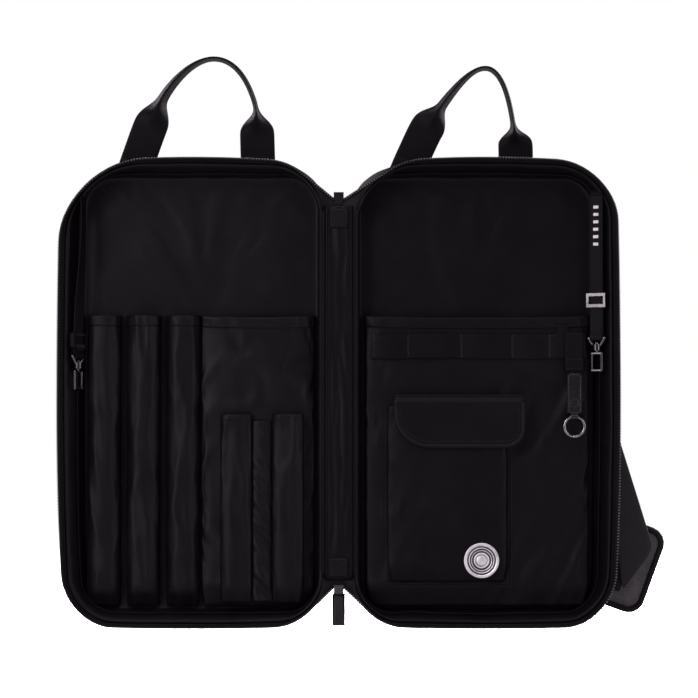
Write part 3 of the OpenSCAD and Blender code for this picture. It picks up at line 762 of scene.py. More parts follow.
def hem(name, sheet, nu, rows=6, height=10.5, out=0.4, thread=True, side_name="left"):
    """Turned hem along the top of a pocket sheet of nu columns, with two rows of stitching."""
    co = np.array([v.co for v in sheet.data.vertices]).reshape(nu, -1, 3) / MM
    grid = np.zeros((rows, nu, 3))
    for k, h in enumerate(np.linspace(0, height, rows)):
        for i, col in enumerate(co):
            z = col[-1, 2] - h
            grid[k, i] = (np.interp(z, col[:, 2], col[:, 0]), np.interp(z, col[:, 2], col[:, 1]),
                          z + (0.35 if k == 0 else 0))
    offset = np.zeros_like(grid)
    for k in range(rows):
        d = np.gradient(grid[k][:, :2], axis=0)
        n = np.stack([d[:, 1], -d[:, 0]], 1)
        n /= np.maximum(np.linalg.norm(n, axis=1), 1e-6)[:, None]
        n *= np.where((n[:, 1] > 0)[:, None], -1, 1)
        n[:, 0] *= 0.35
        offset[k, :, :2] = n * out * (1 + 0.5 * math.sin(math.pi * k / (rows - 1)))
    right = side_name == "right"
    band = add_mesh(name, grid + offset, grid_faces(rows, nu, flip=True), M["lining_right" if right else "lining"])
    solidify(band, out * 1.5, -1.0)
    place(band, side_name + "_half", "lining_fabric")
    if thread:
        face = grid + offset * 1.55
        lines = []
        for k in (0.16 * (rows - 1), 0.86 * (rows - 1)):
            a, f = int(k), k - int(k)
            lines.append(face[a] * (1 - f) + face[min(a + 1, rows - 1)] * f)
        stitches(name + "_stitches", lines, side_name + "_half")


def organiser_creases(x, z):
    """Slack cloth beside the patch pocket falls in long slanting creases."""
    beside = float(smooth(110, 175, x)) * float(1 - smooth(5, 45, z))
    top = float(smooth(60, 75, z)) * 0.3
    return 2.6 * beside * (1 - crease(x, z, -26, 19, 4.0)) / 2 + top * (1 - crease(x, z, 84, 22, 8.0)) / 2


def patch_creases(x, z):
    low = float(1 - smooth(-130, -40, z))
    return 0.9 * (1 - crease(x, z, -32, 17, 6.0)) / 2 * (0.4 + 0.6 * low)


def tube_creases(x, z):
    return 1.5 * (1 - crease(x, z, 3, 11, 14.0)) / 2


def wide_creases(x, z):
    return 1.6 * (1 - crease(x, z, 8, 26, 21.0)) / 2


STICK_POCKETS = ["stick_pocket_%d" % (k + 1) for k in range(3)]
pockets = []                           # (sheet, name of its hem, columns, other arguments of hem)
for k, node_name in enumerate(STICK_POCKETS):
    sheet = pocket_sheet(node_name + "_cloth", node_name, *box_mm(node_name), (0.84, 0.6), 2.0 + k * 5, tube_creases,
                         wave=0.55, foot=18, foot_depth=0.4, cap=0.5, shrink_by=-0.01)
    pockets.append((sheet, node_name + "_hem", 23, {}))
sheet = pocket_sheet("wide_pocket_cloth", "wide_pocket", *box_mm("wide_pocket"), (0.92, 0.28), 31.0, wide_creases,
                     top_sag=1.5, wave=1.0, nu=41, foot_depth=0.5, cap=2.0, shrink_by=-0.02)
pockets.append((sheet, "wide_pocket_hem", 41, {"height": 11, "out": 0.35}))
organiser = pocket_sheet("organiser_pocket_cloth", "organiser_pocket", *box_mm("organiser_pocket"), (0.95, 0.16), 47.0,
                         organiser_creases, top_sag=2.0, nu=61, foot_depth=0.6, cap=0.8, shrink_by=-0.012,
                         side_name="right")
pockets.append((organiser, "organiser_pocket_hem", 61, {"height": 11, "out": 0.5, "side_name": "right"}))

# small pockets: the node holds both, one at each end of its box
SMALL_W = 31.0
small_lo, small_hi = box_mm("small_pockets")
for k, x in enumerate((small_lo[0], small_hi[0] - SMALL_W)):
    lo, hi = np.array([x, *small_lo[1:]]), np.array([x + SMALL_W, *small_hi[1:]])
    sheet = pocket_sheet("small_pocket_%d_cloth" % (k + 1), "small_pockets", lo, hi, (0.86, 0.55), 60.0 + 9 * k,
                         tube_creases, wave=1.0, nu=17, foot=16, cap=0.8)
    pockets.append((sheet, "small_pocket_%d_hem" % (k + 1), 17, {"rows": 5, "height": 6, "out": 0.2, "thread": False}))

# pleated gusset between the small pockets: slanting folds
x0, x1 = small_lo[0] + SMALL_W + 0.4, small_hi[0] - SMALL_W - 0.4
nu, nv = 13, 90
grid = np.zeros((nu, nv, 3))
for i in range(nu):
    u = i / (nu - 1)
    x = x0 + (x1 - x0) * u
    for j in range(nv):
        z = small_lo[2] + 2 + (small_hi[2] - small_lo[2] - 8) * j / (nv - 1)
        slant = z + 0.95 * (x - x0)
        fold = noise.noise(Vector((slant / 8.5, 0.6 * u, 3.3))) + 0.5 * noise.noise(Vector((slant / 4.6, 0, 9.1)))
        depth = (0.9 + 2.1 * float(1 - smooth(-110, -45, z))) * fold + 0.7 * wrinkle((x * 1.5, 3, z * 0.6), 12, 8.0)
        grid[i, j] = (x, small_hi[1] - 0.6 - math.sin(math.pi * u) ** 0.6 * (2.6 + depth), z)
pleat = add_mesh("pleated_gusset_cloth", grid, grid_faces(nu, nv), M["lining"])
solidify(pleat, 0.7, 1.0)
subdivide(pleat)
place(pleat, "left_half", "lining_fabric")

# patch pocket and its flap
fp_lo, fp_hi = box_mm("flap_pocket")
fl_lo, fl_hi = box_mm("pocket_flap")
PATCH_W = 118.0
patch_lo = np.array([fp_lo[0], box_mm("flap_loop_tape")[1][1] + 0.05, fp_lo[2]])
patch_hi = np.array([fp_lo[0] + PATCH_W, fp_hi[1], fl_hi[2] - 5.0])
patch = pocket_sheet("flap_pocket_cloth", "flap_pocket", patch_lo, patch_hi, (0.9, 0.32), 80.0, patch_creases, wave=0.9,
                     nu=37, foot=18, shrink_by=-0.018, side_name="right")
FLAP_SWEEP, FLAP_LOW, FLAP_TOP = 36.0, 19.0, 6.0         # corner radii of the flap: near foot, far foot, far top


def even_outline(path, step):
    """A closed (x, z) outline with points step mm apart."""
    return resample(at_depth(0.0, np.vstack([path, path[:1]])), step)[:-1][:, [0, 2]]


def flap_outline(inset):
    """Straight top with a sharp near corner, a wide sweep below it, rounder corners on the far side."""
    x0, x1 = fl_lo[0] + inset, fl_hi[0] - inset
    z0, z1 = fl_lo[2] + inset, fl_hi[2] - inset * 0.3
    big, low, top = FLAP_SWEEP - inset, FLAP_LOW - inset, max(FLAP_TOP - inset, 1.5)
    pts = [(x0 + (x1 - top - x0) * k / 8, z1) for k in range(8)] + arc(x1 - top, z1 - top, top, 90, 0, 4)
    pts += arc(x1 - low, z0 + low, low, 0, -90, 11) + arc(x0 + big, z0 + big, big, -90, -166, 15)
    end = pts[-1]
    pts += [(end[0] + (x0 - end[0]) * k / 4, end[1] + (z1 - end[1]) * k / 4) for k in range(1, 4)]
    return even_outline(np.array(pts), 4.0)


def flap_edge(z, r, x_side, inward):
    """x of the flap's side at height z, with a corner of radius r at the foot."""
    d = min(z - fl_lo[2], r)
    return x_side + inward * (r - math.sqrt(max(r * r - (r - d) ** 2, 0.0)))


flap_mid = (fl_lo[1] + fl_hi[1]) / 2
nu, nv = 35, 15
grid = np.zeros((nu, nv, 3))
for j in range(nv):
    t = 0.5 - 0.5 * math.cos(math.pi * j / (nv - 1))
    z = fl_lo[2] + (fl_hi[2] - fl_lo[2]) * t
    top_in = FLAP_TOP - math.sqrt(max(FLAP_TOP ** 2 - max(z - fl_hi[2] + FLAP_TOP, 0.0) ** 2, 0.0))
    xa, xb = flap_edge(z, FLAP_SWEEP, fl_lo[0], 1), flap_edge(z, FLAP_LOW, fl_hi[0], -1) - top_in
    for i in range(nu):
        u = i / (nu - 1)
        x = xa + (xb - xa) * (0.5 - 0.5 * math.cos(math.pi * u)) * 0.35 + (xb - xa) * u * 0.65
        swell = math.sin(math.pi * u) ** 0.5 * math.sin(math.pi * min(t * 0.9 + 0.08, 1.0)) ** 0.5
        grid[i, j] = (x, flap_mid + 0.35 + (0.4 * wrinkle((x, 0, z), 24, 91.0) - 0.7) * swell, z)
flap = add_mesh("pocket_flap_cloth", grid, grid_faces(nu, nv), M["lining_right"])
solidify(flap, 1.3, 0.0)
subdivide(flap)
place(flap, "pocket_flap", "lining_fabric", "pocket_flap")
tube("pocket_flap_binding", at_depth(flap_mid + 0.05, flap_outline(2.0)), 2.25, M["binding"], "pocket_flap",
     segments=12, closed=True, squash_y=0.58)

# shoulder pad cushion goes into the same simulation
PAD_L, PAD_W = 230.0, 90.0
pad_turn = math.radians(20.0)
pad_lo, pad_hi = box_mm("shoulder_pad")
pad_bind_lo, pad_bind_hi = box_mm("pad_binding")
pad_centre = (pad_bind_lo + pad_bind_hi) / 2
pad_u = np.array([math.cos(pad_turn), 0.0, -math.sin(pad_turn)])
pad_v = np.array([math.sin(pad_turn), 0.0, math.cos(pad_turn)])
PAD_FRONT, PAD_BACK = pad_lo[1], pad_hi[1]
PAD_MID = (PAD_FRONT + PAD_BACK) / 2


def pad_point(a, b, y):
    """Point on the shoulder pad: a along it from its middle, b across it."""
    p = pad_centre + pad_u * a + pad_v * b
    return np.array([p[0], y, p[2]])


def pad_outline(inset, r, step):
    half_l, half_w = PAD_L / 2 - inset, PAD_W / 2 - inset
    pts = []
    for cx, cz, a0 in ((half_l - r, half_w - r, 90), (half_l - r, -half_w + r, 0),
                       (-half_l + r, -half_w + r, -90), (-half_l + r, half_w - r, -180)):
        pts += arc(cx, cz, r, a0, a0 - 90, 8)
    return even_outline(np.array(pts), step)


def cushion(name, mat, rings=8):
    """Closed, crowned form of the pad inside its bound edge."""
    out = pad_outline(2.2, 14, 6.0)
    n, base = len(out), (rings + 1) * len(out)
    half, thick = PAD_L / 2 - PAD_W / 2, (PAD_BACK - PAD_FRONT) / 2
    verts = []
    for face in (-1, 1):
        for k in range(rings + 1):
            t = k / rings
            rise = 0.42 + 0.58 * math.sin(min(1.0, t * 2.2) * math.pi / 2)
            for a, b in out:
                pa, pb = a * (1 - t) + min(max(a, -half), half) * t, b * (1 - t)
                w = 0.35 * wrinkle((pa, face * 9, pb), 30, 17.0) * min(1.0, t * 4)
                verts.append(pad_point(pa, pb, PAD_MID + face * (thick * rise - 0.5 + w)))
    faces = grid_faces(rings + 1, n, closed_v=True) + grid_faces(rings + 1, n, closed_v=True, flip=True, start=base)
    faces += [((j + 1) % n, j, base + j, base + (j + 1) % n) for j in range(n)]
    return merge(add_mesh(name, verts, faces, mat), 0.05)


pad = cushion("shoulder_pad_cushion", M["mesh"])
pad_pins = []
for v in pad.data.vertices:
    p = np.array(v.co) / MM - pad_centre
    pad_pins.append(1.0 - float(smooth(4, 12, min(PAD_L / 2 - abs(p @ pad_u), PAD_W / 2 - abs(p @ pad_v)))))
drape(pad, pad_pins, cap=1.2, bend=0.5, depths=(PAD_FRONT - 0.2, PAD_BACK + 1.5), shrink_by=-0.01, pressure=2.5)

run_cloth()

for ob, thickness in [(ob, 0.8) for ob in linings] + [(row[0], 1.0) for row in pockets] + [(patch, 0.9)]:
    solidify(ob, thickness, 0.0)
    subdivide(ob)
subdivide(pad)
place(pad, "shoulder_pad", "mesh_fabric", "shoulder_pad")
for ob, name, nu, options in pockets:
    hem(name, ob, nu, **options)

# stitch lines that hold the pockets to the lining, and the patch pocket's double seam
rows = []
for node_name in STICK_POCKETS:
    lo, hi = box_mm(node_name)
    rows += [np.linspace((x, SEAT_Y - 0.8, lo[2] + 6), (x, SEAT_Y - 0.8, hi[2] - 1), 40)
             for x in (lo[0] - 1.6, hi[0] + 1.6)]
stitches("stick_pocket_seam_stitches", rows, "left_half")
rows = []
for off in (2.2, 5.2):
    xa, xb, top, foot = patch_lo[0] - off, patch_hi[0] + off, patch_hi[2] - 4, patch_lo[2] - off
    line = np.vstack([np.linspace((xa, top), (xa, foot), 40), np.linspace((xa, foot), (xb, foot), 26),
                      np.linspace((xb, foot), (xb, top), 40)])
    rows.append(surface_points(organiser, line, 0.8, SEAT_Y))
stitches("patch_pocket_seam_stitches", rows, "right_half")

# welt that the flap hangs from
wx0, wx1, wz = fl_lo[0] + 1, fl_hi[0] - 1, fl_hi[2] + 1.7
for name, y, width, thick, mat, slot in (
        ("flap_welt_tape", fl_lo[1] + 1.5, 3.4, 2.2, "binding", "webbing"),
        ("flap_welt_back", (fl_hi[1] + fp_hi[1]) / 2, 2.6, fp_hi[1] - fl_hi[1], "lining_right", "lining_fabric")):
    ribbon(name, np.linspace((wx0, y, wz), (wx1, y, wz), 30), (0, 0, 1), width, thick, M[mat], "right_half", slot=slot)
edge, deep = ([q for q in flap_outline(inset) if q[1] < fl_hi[2] - 4] for inset in (2.6, 6.2))
stitches("pocket_flap_stitches", [at_depth(flap_mid - 1.35, edge), surface_points(flap, deep, 0.15, fl_lo[1])],
         "pocket_flap")
for node_name, body, face, m in (("flap_hook_tape", "pocket_flap", 1, 1.6), ("flap_loop_tape", "right_half", 0, 3.4)):
    lo, hi = box = box_mm(node_name)
    line = [(x, (lo[1] + hi[1]) / 2 + 0.1 * wrinkle((x, 0, 0), 9, 2.0), (lo[2] + hi[2]) / 2)
            for x in np.linspace(lo[0] + 0.3, hi[0] - 0.3, 24)]
    ribbon(node_name + "_pile", line, (0, 0, 1), hi[2] - lo[2] - 0.6, (hi[1] - lo[1]) * 0.9, M["pile"], body, node_name,
           slot="touch_tape")
    corners = [(lo[0] + m, lo[2] + m), (hi[0] - m, lo[2] + m), (hi[0] - m, hi[2] - m), (lo[0] + m, hi[2] - m)]
    stitches(node_name + "_stitches", [at_depth(box[face][1], corners + corners[:1])], body, radius=0.2)


# ---------------------------------------------------------------- spine and the two soft folds
def spine_sheet(name, y, thick, mat, slot_name, nodes, seed, crown):
    """Sheet down the spine, crowned by crown mm; negative crowns are the creased lining."""
    nu, nv, half, z1 = 17, 60, 11.5, STRAIGHT - 1
    grid = np.zeros((nu, nv, 3))
    for i in range(nu):
        u = i / (nu - 1)
        x, arch = half * (2 * u - 1), math.sin(math.pi * u)
        for j in range(nv):
            z = -z1 + 2 * z1 * j / (nv - 1)
            w = 0.9 * crease(x, z, 2, 9, seed) * (1 if crown < 0 else 0.3) + crown
            grid[i, j] = (x, y + 0.35 * wrinkle((x * 2, 0, z * 0.6), 22, seed) + w * arch, z)
    ob = add_mesh(name, grid, grid_faces(nu, nv, flip=crown > 0), mat)
    solidify(ob, thick, 0.0)
    subdivide(ob)
    place(ob, "spine", slot_name, *nodes)


def fold_strip(name, section, side_name, mat, seed):
    """Sheet that bends between the spine and a half: section rows are (x, y) across the fold."""
    side, nv, z1 = SIDES[side_name], 64, STRAIGHT - 1
    verts = [(x, y + 0.25 * wrinkle((x, y, z), 14, seed), z) for x, y in section for z in np.linspace(-z1, z1, nv)]
    ob = add_mesh(name, verts, grid_faces(len(section), nv, flip=side > 0), mat, side=side)
    solidify(ob, 0.8, 0.0)
    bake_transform(ob)


INNER_FOLD = [(11.0, -5.2), (12.2, -4.7), (13.2, -3.6), (13.9, -2.2), (14.6, -1.2), (15.8, -0.9), (17.2, -0.8),
              (18.6, 0.1), (19.8, 1.6)]
OUTER_FOLD = [(11.0, -0.4), (12.2, -0.2), (13.2, 0.1), (13.9, 0.7), (14.3, 1.8), (14.3, 3.4)]
spine_front = box_mm("spine_lining")[0][1]
spine_sheet("spine_lining_cloth", spine_front + 1.9, 0.8, M["lining_right"], "lining_fabric",
            ("spine_lining", "spine_foam"), 5.0, -0.5)
spine_sheet("spine_outer_cloth", -0.5, 0.9, M["outer"], "outer_fabric", ("spine_outer",), 6.0, 0.25)
for s, side in SIDES.items():
    fold_strip(s + "_inner_fold", INNER_FOLD, s, M["lining_right"], 7.0 + side)
    fold_strip(s + "_outer_fold", OUTER_FOLD, s, M["outer"], 9.0 + side)
    z_line = np.linspace(-STRAIGHT + 3, STRAIGHT - 3, 70)
    tube(s + "_spine_cord", [(17.4, -0.9 + 0.2 * wrinkle((0, 0, z), 20, side), z) for z in z_line], BEAD, M["tape"],
         s + "_half", side=side)
    stitches(s + "_spine_stitches", [at_depth(spine_front - 0.35, [(10.0, z) for z in z_line])], "spine", side=side)

# stitched box ends of the zip at the head and foot of the spine, and the stop between each and its slider
tab_lo, tab_hi = box_mm("zip_end_tabs")
for k, (end, sgn, nodes) in enumerate((("top", 1, ("zip_end_tabs",)), ("bottom", -1, ()))):
    zc, y = sgn * (tab_hi[2] - 10), tab_lo[1] + 0.3
    ribbon("zip_end_tab_" + end, np.linspace((0, y, zc - 9.5), (0, y, zc + 9.5), 8), (1, 0, 0), 17.5, 1.3, M["tape"],
           "spine", *nodes)
    a, b, c, d = (-7.4, zc - 8), (7.4, zc - 8), (7.4, zc + 8), (-7.4, zc + 8)
    stitches("zip_tab_stitches_%d" % k, [at_depth(tab_lo[1] - 0.5, (a, b, c, d, a)), at_depth(tab_lo[1] - 0.5, (a, c))],
             "spine", length=1.9, pitch=2.6)
    ribbon("zip_end_stop_" + end, np.linspace((0, 0.4, sgn * (tab_hi[2] - 2)), (0, 0.4, sgn * (tab_hi[2] + 7.5)), 6),
           (1, 0, 0), 10.0, 1.2, M["tape"], "spine")

# the rubber grip moulded over the pull that hangs free at the foot
pull_lo, pull_hi = box_mm("bottom_pull")
y = (pull_lo[1] + pull_hi[1]) / 2
ribbon("bottom_pull_grip", np.linspace((0, y, pull_lo[2] - 3.0), (0, y, pull_lo[2] + 29.0), 12), (1, 0, 0), 13.0,
       pull_hi[1] - pull_lo[1] + 0.8, M["rubber"], "bottom_pull", slot="black_plastic")


# ---------------------------------------------------------------- carry handles
HANDLE_W, HANDLE_THICK = 35.0, 2.0
GRIP_FOLD, GRIP_OPEN = 84, 24          # degrees the grip is folded by, and how much less at its first end
ROOT_STEPS = ((-11, 3.3), (-8, 3.3), (-5, 3.1), (-2, 2.2), (1, 0.9), (4, 0.2), (7, 0.0), (10, 0.0))   # rise, depth


def bezier(p, t):
    p = np.array(p, float)
    return (1 - t) ** 3 * p[0] + 3 * t * (1 - t) ** 2 * p[1] + 3 * t * t * (1 - t) * p[2] + t ** 3 * p[3]


def handle(side_name, root_a, knee_a, curve, knee_b, root_b):
    """Webbing that runs up flat, folds in half along the grip and comes down flat again."""
    side, body, name = SIDES[side_name], side_name + "_handle", side_name + "_handle_webbing"
    lo, hi = box_mm(body)
    root_z, y_mid = lo[2], (lo[1] + hi[1]) / 2

    def leg(a, b, n, fold):
        return [(a[0] + (b[0] - a[0]) * t, a[1] + (b[1] - a[1]) * t, fold(t)) for t in np.linspace(0, 1, n)]

    line = leg((root_a, root_z), knee_a, 9, lambda t: 0.0)
    line += leg(knee_a, curve[0], 9, lambda t: t * t * (3 - 2 * t))[1:]
    line += [(*bezier(curve, t), 1.0) for t in np.linspace(0, 1, 41)[1:]]
    line += leg(curve[3], knee_b, 9, lambda t: 1 - t * t * (3 - 2 * t))[1:]
    line += leg(knee_b, (root_b, root_z), 7, lambda t: 0.0)[1:]
    line = np.array(line)
    for _ in range(3):
        line[1:-1, :2] = line[1:-1, :2] * 0.5 + (line[:-2, :2] + line[2:, :2]) * 0.25
    path = at_depth(y_mid, line[:, :2])
    tan, length = unit_rows(np.gradient(path, axis=0)), distances(path)
    cols = np.linspace(-1, 1, 11)
    verts, uvs = [], []
    for i, p in enumerate(path):
        w_dir = np.array([-tan[i][2], 0, tan[i][0]])
        fold = line[i, 2] * math.radians(GRIP_FOLD - GRIP_OPEN * max(0.0, 1 - length[i] / length[-1] * 2.0))
        bow = 1.3 * math.sin(math.pi * min(1, max(0, 1 - line[i, 2])))
        rows = []
        for m in cols:
            reach, a = m * HANDLE_W / 2, fold * min(1.0, abs(m) * 3 + 0.25)
            c = w_dir * reach * math.cos(fold) + FACING * abs(reach) * math.sin(fold)
            c[1] -= math.sin(fold) * HANDLE_W / 4 + bow * (1 - m * m)
            turn = 0 if abs(m) < 1e-6 else math.copysign(1, m)
            nrm = -FACING * math.cos(a) + w_dir * math.sin(a) * turn
            rows.append((p + c, nrm / np.linalg.norm(nrm), (length[i] * MM, reach * MM)))
        for sign, order in ((1, rows), (-1, rows[::-1])):
            for c, nrm, uv in order:
                verts.append(c + sign * nrm * HANDLE_THICK / 2)
                uvs.append(uv)
    ob = merge(add_mesh(name, verts, tube_faces(len(path), 2 * len(cols)), M["webbing"], uvs, side=side), 0)
    subdivide(ob)
    place(ob, body, "webbing", body)
    y = y_mid - 1.35
    stitches(name + "_stitches", [np.linspace((root - 15, y, root_z + dz), (root + 15, y, root_z + dz), 8)
                                  for root in (root_a, root_b) for dz in (3.0, 6.0)], body, side=side)
    # the sewn-down ends carry on over the edge of the back panel
    for k, (root, knee) in enumerate(((root_a, knee_a), (root_b, knee_b))):
        lean = (knee[0] - root) / (knee[1] - root_z)
        ribbon("%s_root_%d" % (name, k + 1), [(root + lean * dz, y_mid + dy, root_z + dz) for dz, dy in ROOT_STEPS],
               (1, 0, 0), HANDLE_W - 0.6, 2.6, M["webbing"], side_name + "_half", side=side)


handle("left", 206, (191, 265), [(178, 297), (143, 352), (100, 353), (83, 287)], (82, 258), 81)
handle("right", 68, (87, 264), [(104, 290), (128, 322), (163, 365), (176, 270)], (178, 248), 178)


# ---------------------------------------------------------------- drum hook straps
HOOKS = {  # degrees the strap faces away from the wall, bow, twist at its top, lean, trim, glide's way down
    "left": (37, 1.2, 14, 4.5, 5, 4.0),
    "right": (65, 1.6, None, 0.0, 0, 20.0),
}
LOOP_R = 2.6                           # half the gap of the doubled end


def across_at(angle, side):
    return np.array([-math.sin(angle) * side, math.cos(angle), 0.0])


def paint(node_name, mat):
    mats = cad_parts[node_name].data.materials
    mats.clear()
    mats.append(M[mat])


for s, side in SIDES.items():
    face_turn, bow, top_turn, lean_by, trim, glide_drop = HOOKS[s]
    strap_lo, strap_hi = box_mm(s + "_hook_strap")
    centre, z0, z1 = (strap_lo + strap_hi) / 2, strap_lo[2], strap_hi[2] - trim
    turn = math.radians(face_turn)
    across, face = across_at(turn, side), np.array([-math.cos(turn) * side, -math.sin(turn), 0.0])
    body = s + "_hook_strap"
    glide_lo, glide_hi = box_mm(s + "_glide")
    zs = np.linspace(z1 + 1.5, z0 - 1.0, 40)
    path = []
    for z in zs:
        t = (z1 + 1.5 - z) / (z1 - z0 + 2.5)
        off = bow * math.sin(math.pi * t) * (1 + 0.4 * math.sin(5 * t)) * 0.6
        lean = float(smooth((glide_lo[2] + glide_hi[2]) / 2 + 4, z1 - 12, z)) * lean_by
        path.append((centre[0] + face[0] * off - side * lean, centre[1] + face[1] * off, z))
    turn_low = math.atan2(-across[0] * side, across[1])
    turn_top = turn_low if top_turn is None else math.radians(top_turn)
    turns = [turn_low + (turn_top - turn_low) * float(smooth(z0 + 30, z1 - 25, z)) for z in zs]
    ribbon(s + "_hook_webbing", path, [across_at(a, side) for a in turns], 14.6, 1.5, M["webbing"], body, body)
    # short end of the same webbing, sewn into the wall above the fold it swings from
    ribbon(s + "_hook_root", [(path[0][0] + side * 0.12 * dz, path[0][1] + 0.5 * dz, path[0][2] + dz)
                              for dz in np.linspace(-1.5, 4.5, 5)], across_at(turns[0], side), 14.2, 1.7, M["webbing"],
           s + "_half")

    def beside(z, off):
        return (centre[0] + face[0] * off, centre[1] + face[1] * off, z)

    # doubled end: round the swivel eye and back up to the slider
    end = [beside(z, off) for z, off in zip(np.linspace(glide_lo[2] - glide_drop - 1.0, z0, 8),
                                            (1.4, 1.4, 1.4, 1.4, 1.4, 1.6, 2.1, LOOP_R))]
    end += [beside(z0 - 1.8 - LOOP_R * math.sin(a), LOOP_R * math.cos(a)) for a in np.linspace(0, math.pi, 12)]
    end += [beside(z, -LOOP_R) for z in np.linspace(z0, z0 + 7, 4)[1:]]
    ribbon(s + "_hook_webbing_loop", end, across, 13.6, 1.1, M["webbing"], body)
    stitches(s + "_hook_bartack", [np.array([beside(z0 + 5 + dz, 3.4) + across * c for c in np.linspace(-5.5, 5.5, 6)])
                                   for dz in (0, 1.6, 3.2)], body, length=1.8, pitch=2.2)
    for part in ("_glide", "_swivel_eye", "_snap_hook", "_gate"):
        paint(s + part, "dark_metal")
    if s == "right":
        # plain woven dashes down the strap in place of any lettering
        line = np.array(path)[::-1]
        for k in range(6):
            zc = z1 - 12 - k * 7.4
            dash = [[np.interp(z, line[:, 2], line[:, axis]) + face[axis] * 0.8 for axis in (0, 1)] + [z]
                    for z in np.linspace(zc - 1.5, zc + 1.5, 4)]
            ribbon("strap_dash_%d" % k, dash, across, 5.4, 0.3, M["white_ink"], body)


# ---------------------------------------------------------------- organiser webbing, key leash, badge
ow_lo, ow_hi = box_mm("organiser_webbing")
ow_z, ow_y = (ow_lo[2] + ow_hi[2]) / 2, ow_hi[1] - 0.8
tacks = [ow_lo[0] + x for x in (1.5, 35.5, 88.5, 139.5, 176.5)] + [ow_hi[0] - 1.5]
path = [(tacks[0] - 1.5, ow_y, ow_z)]
for a, b in zip(tacks[:-1], tacks[1:]):
    path += [(a + (b - a) * t, ow_y - 1.9 * math.sin(math.pi * t) ** 0.7, ow_z + 0.5 * math.sin(a + t))
             for t in np.linspace(0, 1, 14)[:-1]]
path += [(tacks[-1] + x, ow_y, ow_z) for x in (0, 1.5)]
ribbon("organiser_loop_webbing", path, (0, 0, 1), ow_hi[2] - ow_lo[2], 1.4, M["webbing"], "right_half",
       "organiser_webbing")
stitches("organiser_bartacks", [np.linspace((x + dx, ow_hi[1] - 1.75, ow_lo[2] + 1.0),
                                            (x + dx, ow_hi[1] - 1.75, ow_hi[2] - 1.0), 12)
                                for x in tacks for dx in (-0.75, 0.0, 0.75)], "right_half", length=1.9, pitch=2.0,
         radius=0.34)

leash_lo, leash_hi = box_mm("key_leash")
kx, ky, zt = (leash_lo[0] + leash_hi[0]) / 2, (leash_lo[1] + leash_hi[1]) / 2, leash_hi[2]
path = [(kx + dx, ky + dy, zt - drop) for dx, dy, drop in
        ((0, 0.2, 0), (0, 0, 6), (-0.4, -0.3, 14), (-0.6, -0.5, 22), (-0.3, -0.3, 30), (0, 0, 37), (0, 0.2, 41))]
ribbon("key_leash_webbing", resample(path, 2.5), (1, 0, 0), 18, 1.5, M["webbing"], "key_leash", "key_leash")
ribbon("key_leash_sleeve", np.linspace((kx, ky + 0.1, zt - 25), (kx, ky + 0.1, zt - 39), 8), (1, 0, 0), 19.2, 3.0,
       M["webbing"], "key_leash")
stitches("key_leash_stitches", [np.linspace((kx - 7.5, ky - 1.75, zt - drop), (kx + 7.5, ky - 1.75, zt - drop), 7)
                                for drop in (27, 36)], "key_leash", length=1.8, pitch=2.4)
ribbon("key_leash_anchor", np.linspace((kx - 12, ow_hi[1] - 2.6, ow_hi[2] + 9), (kx - 12, ow_hi[1] - 2.6, ow_hi[2] - 3),
                                       8), (1, 0, 0), 11, 1.3, M["webbing"], "right_half")
for node_name in ("key_clip", "top_pull", "bottom_pull"):
    paint(node_name, "rubber")
for node_name in ("top_slider", "bottom_slider", "top_ring", "bottom_ring", "strap_adjuster"):
    paint(node_name, "dark_metal")

# split ring: not quite two turns of wire, the second one behind the first
ring_box_lo, ring_box_hi = box_mm("key_ring")
ring_c = (ring_box_lo + ring_box_hi) / 2
ring_r = (ring_box_hi[0] - ring_box_lo[0]) / 2 - 0.9
verts, count = [], 96
for k in range(count + 1):
    a = math.radians(-100) + 2 * math.pi * 1.9 * k / count
    y = ring_c[1] - 0.55 + 1.1 * float(smooth(0.42, 0.58, k / count))
    for dr, dy in arc(0, 0, 1, 0, 360, 8, False):
        r = ring_r + 1.15 * dr
        verts.append((ring_c[0] + r * math.cos(a), y + 0.5 * dy, ring_c[2] + r * math.sin(a)))
split_ring = merge(add_mesh("key_split_ring", verts, tube_faces(count + 1, 8), M["chrome"]), 0.001)
place(split_ring, "key_ring", "steel", "key_ring")

# raised rim and button on the moulded clip
clip_lo, clip_hi = box_mm("key_clip")
cz0, cz1, y = clip_lo[2] + 6.5, clip_hi[2] - 2.0, ky - 2.1
rim = [(x + 3.3 * c, z + 3.5 * s) for x, z, a0 in ((kx + 2.5, cz1 - 3.5, 90), (kx + 2.5, cz0 + 3.5, 0),
                                                   (kx - 2.5, cz0 + 3.5, -90), (kx - 2.5, cz1 - 3.5, -180))
       for c, s in arc(0, 0, 1, a0, a0 - 90, 5)]
tube("key_clip_rim", at_depth(y, rim), 0.75, M["rubber"], "key_leash", "black_plastic", closed=True)
tube("key_clip_boss", at_depth(y, arc(kx, cz0 + 10, 4.0, 0, 360, 23, False)), 0.6, M["rubber"], "key_leash",
     "black_plastic", closed=True)

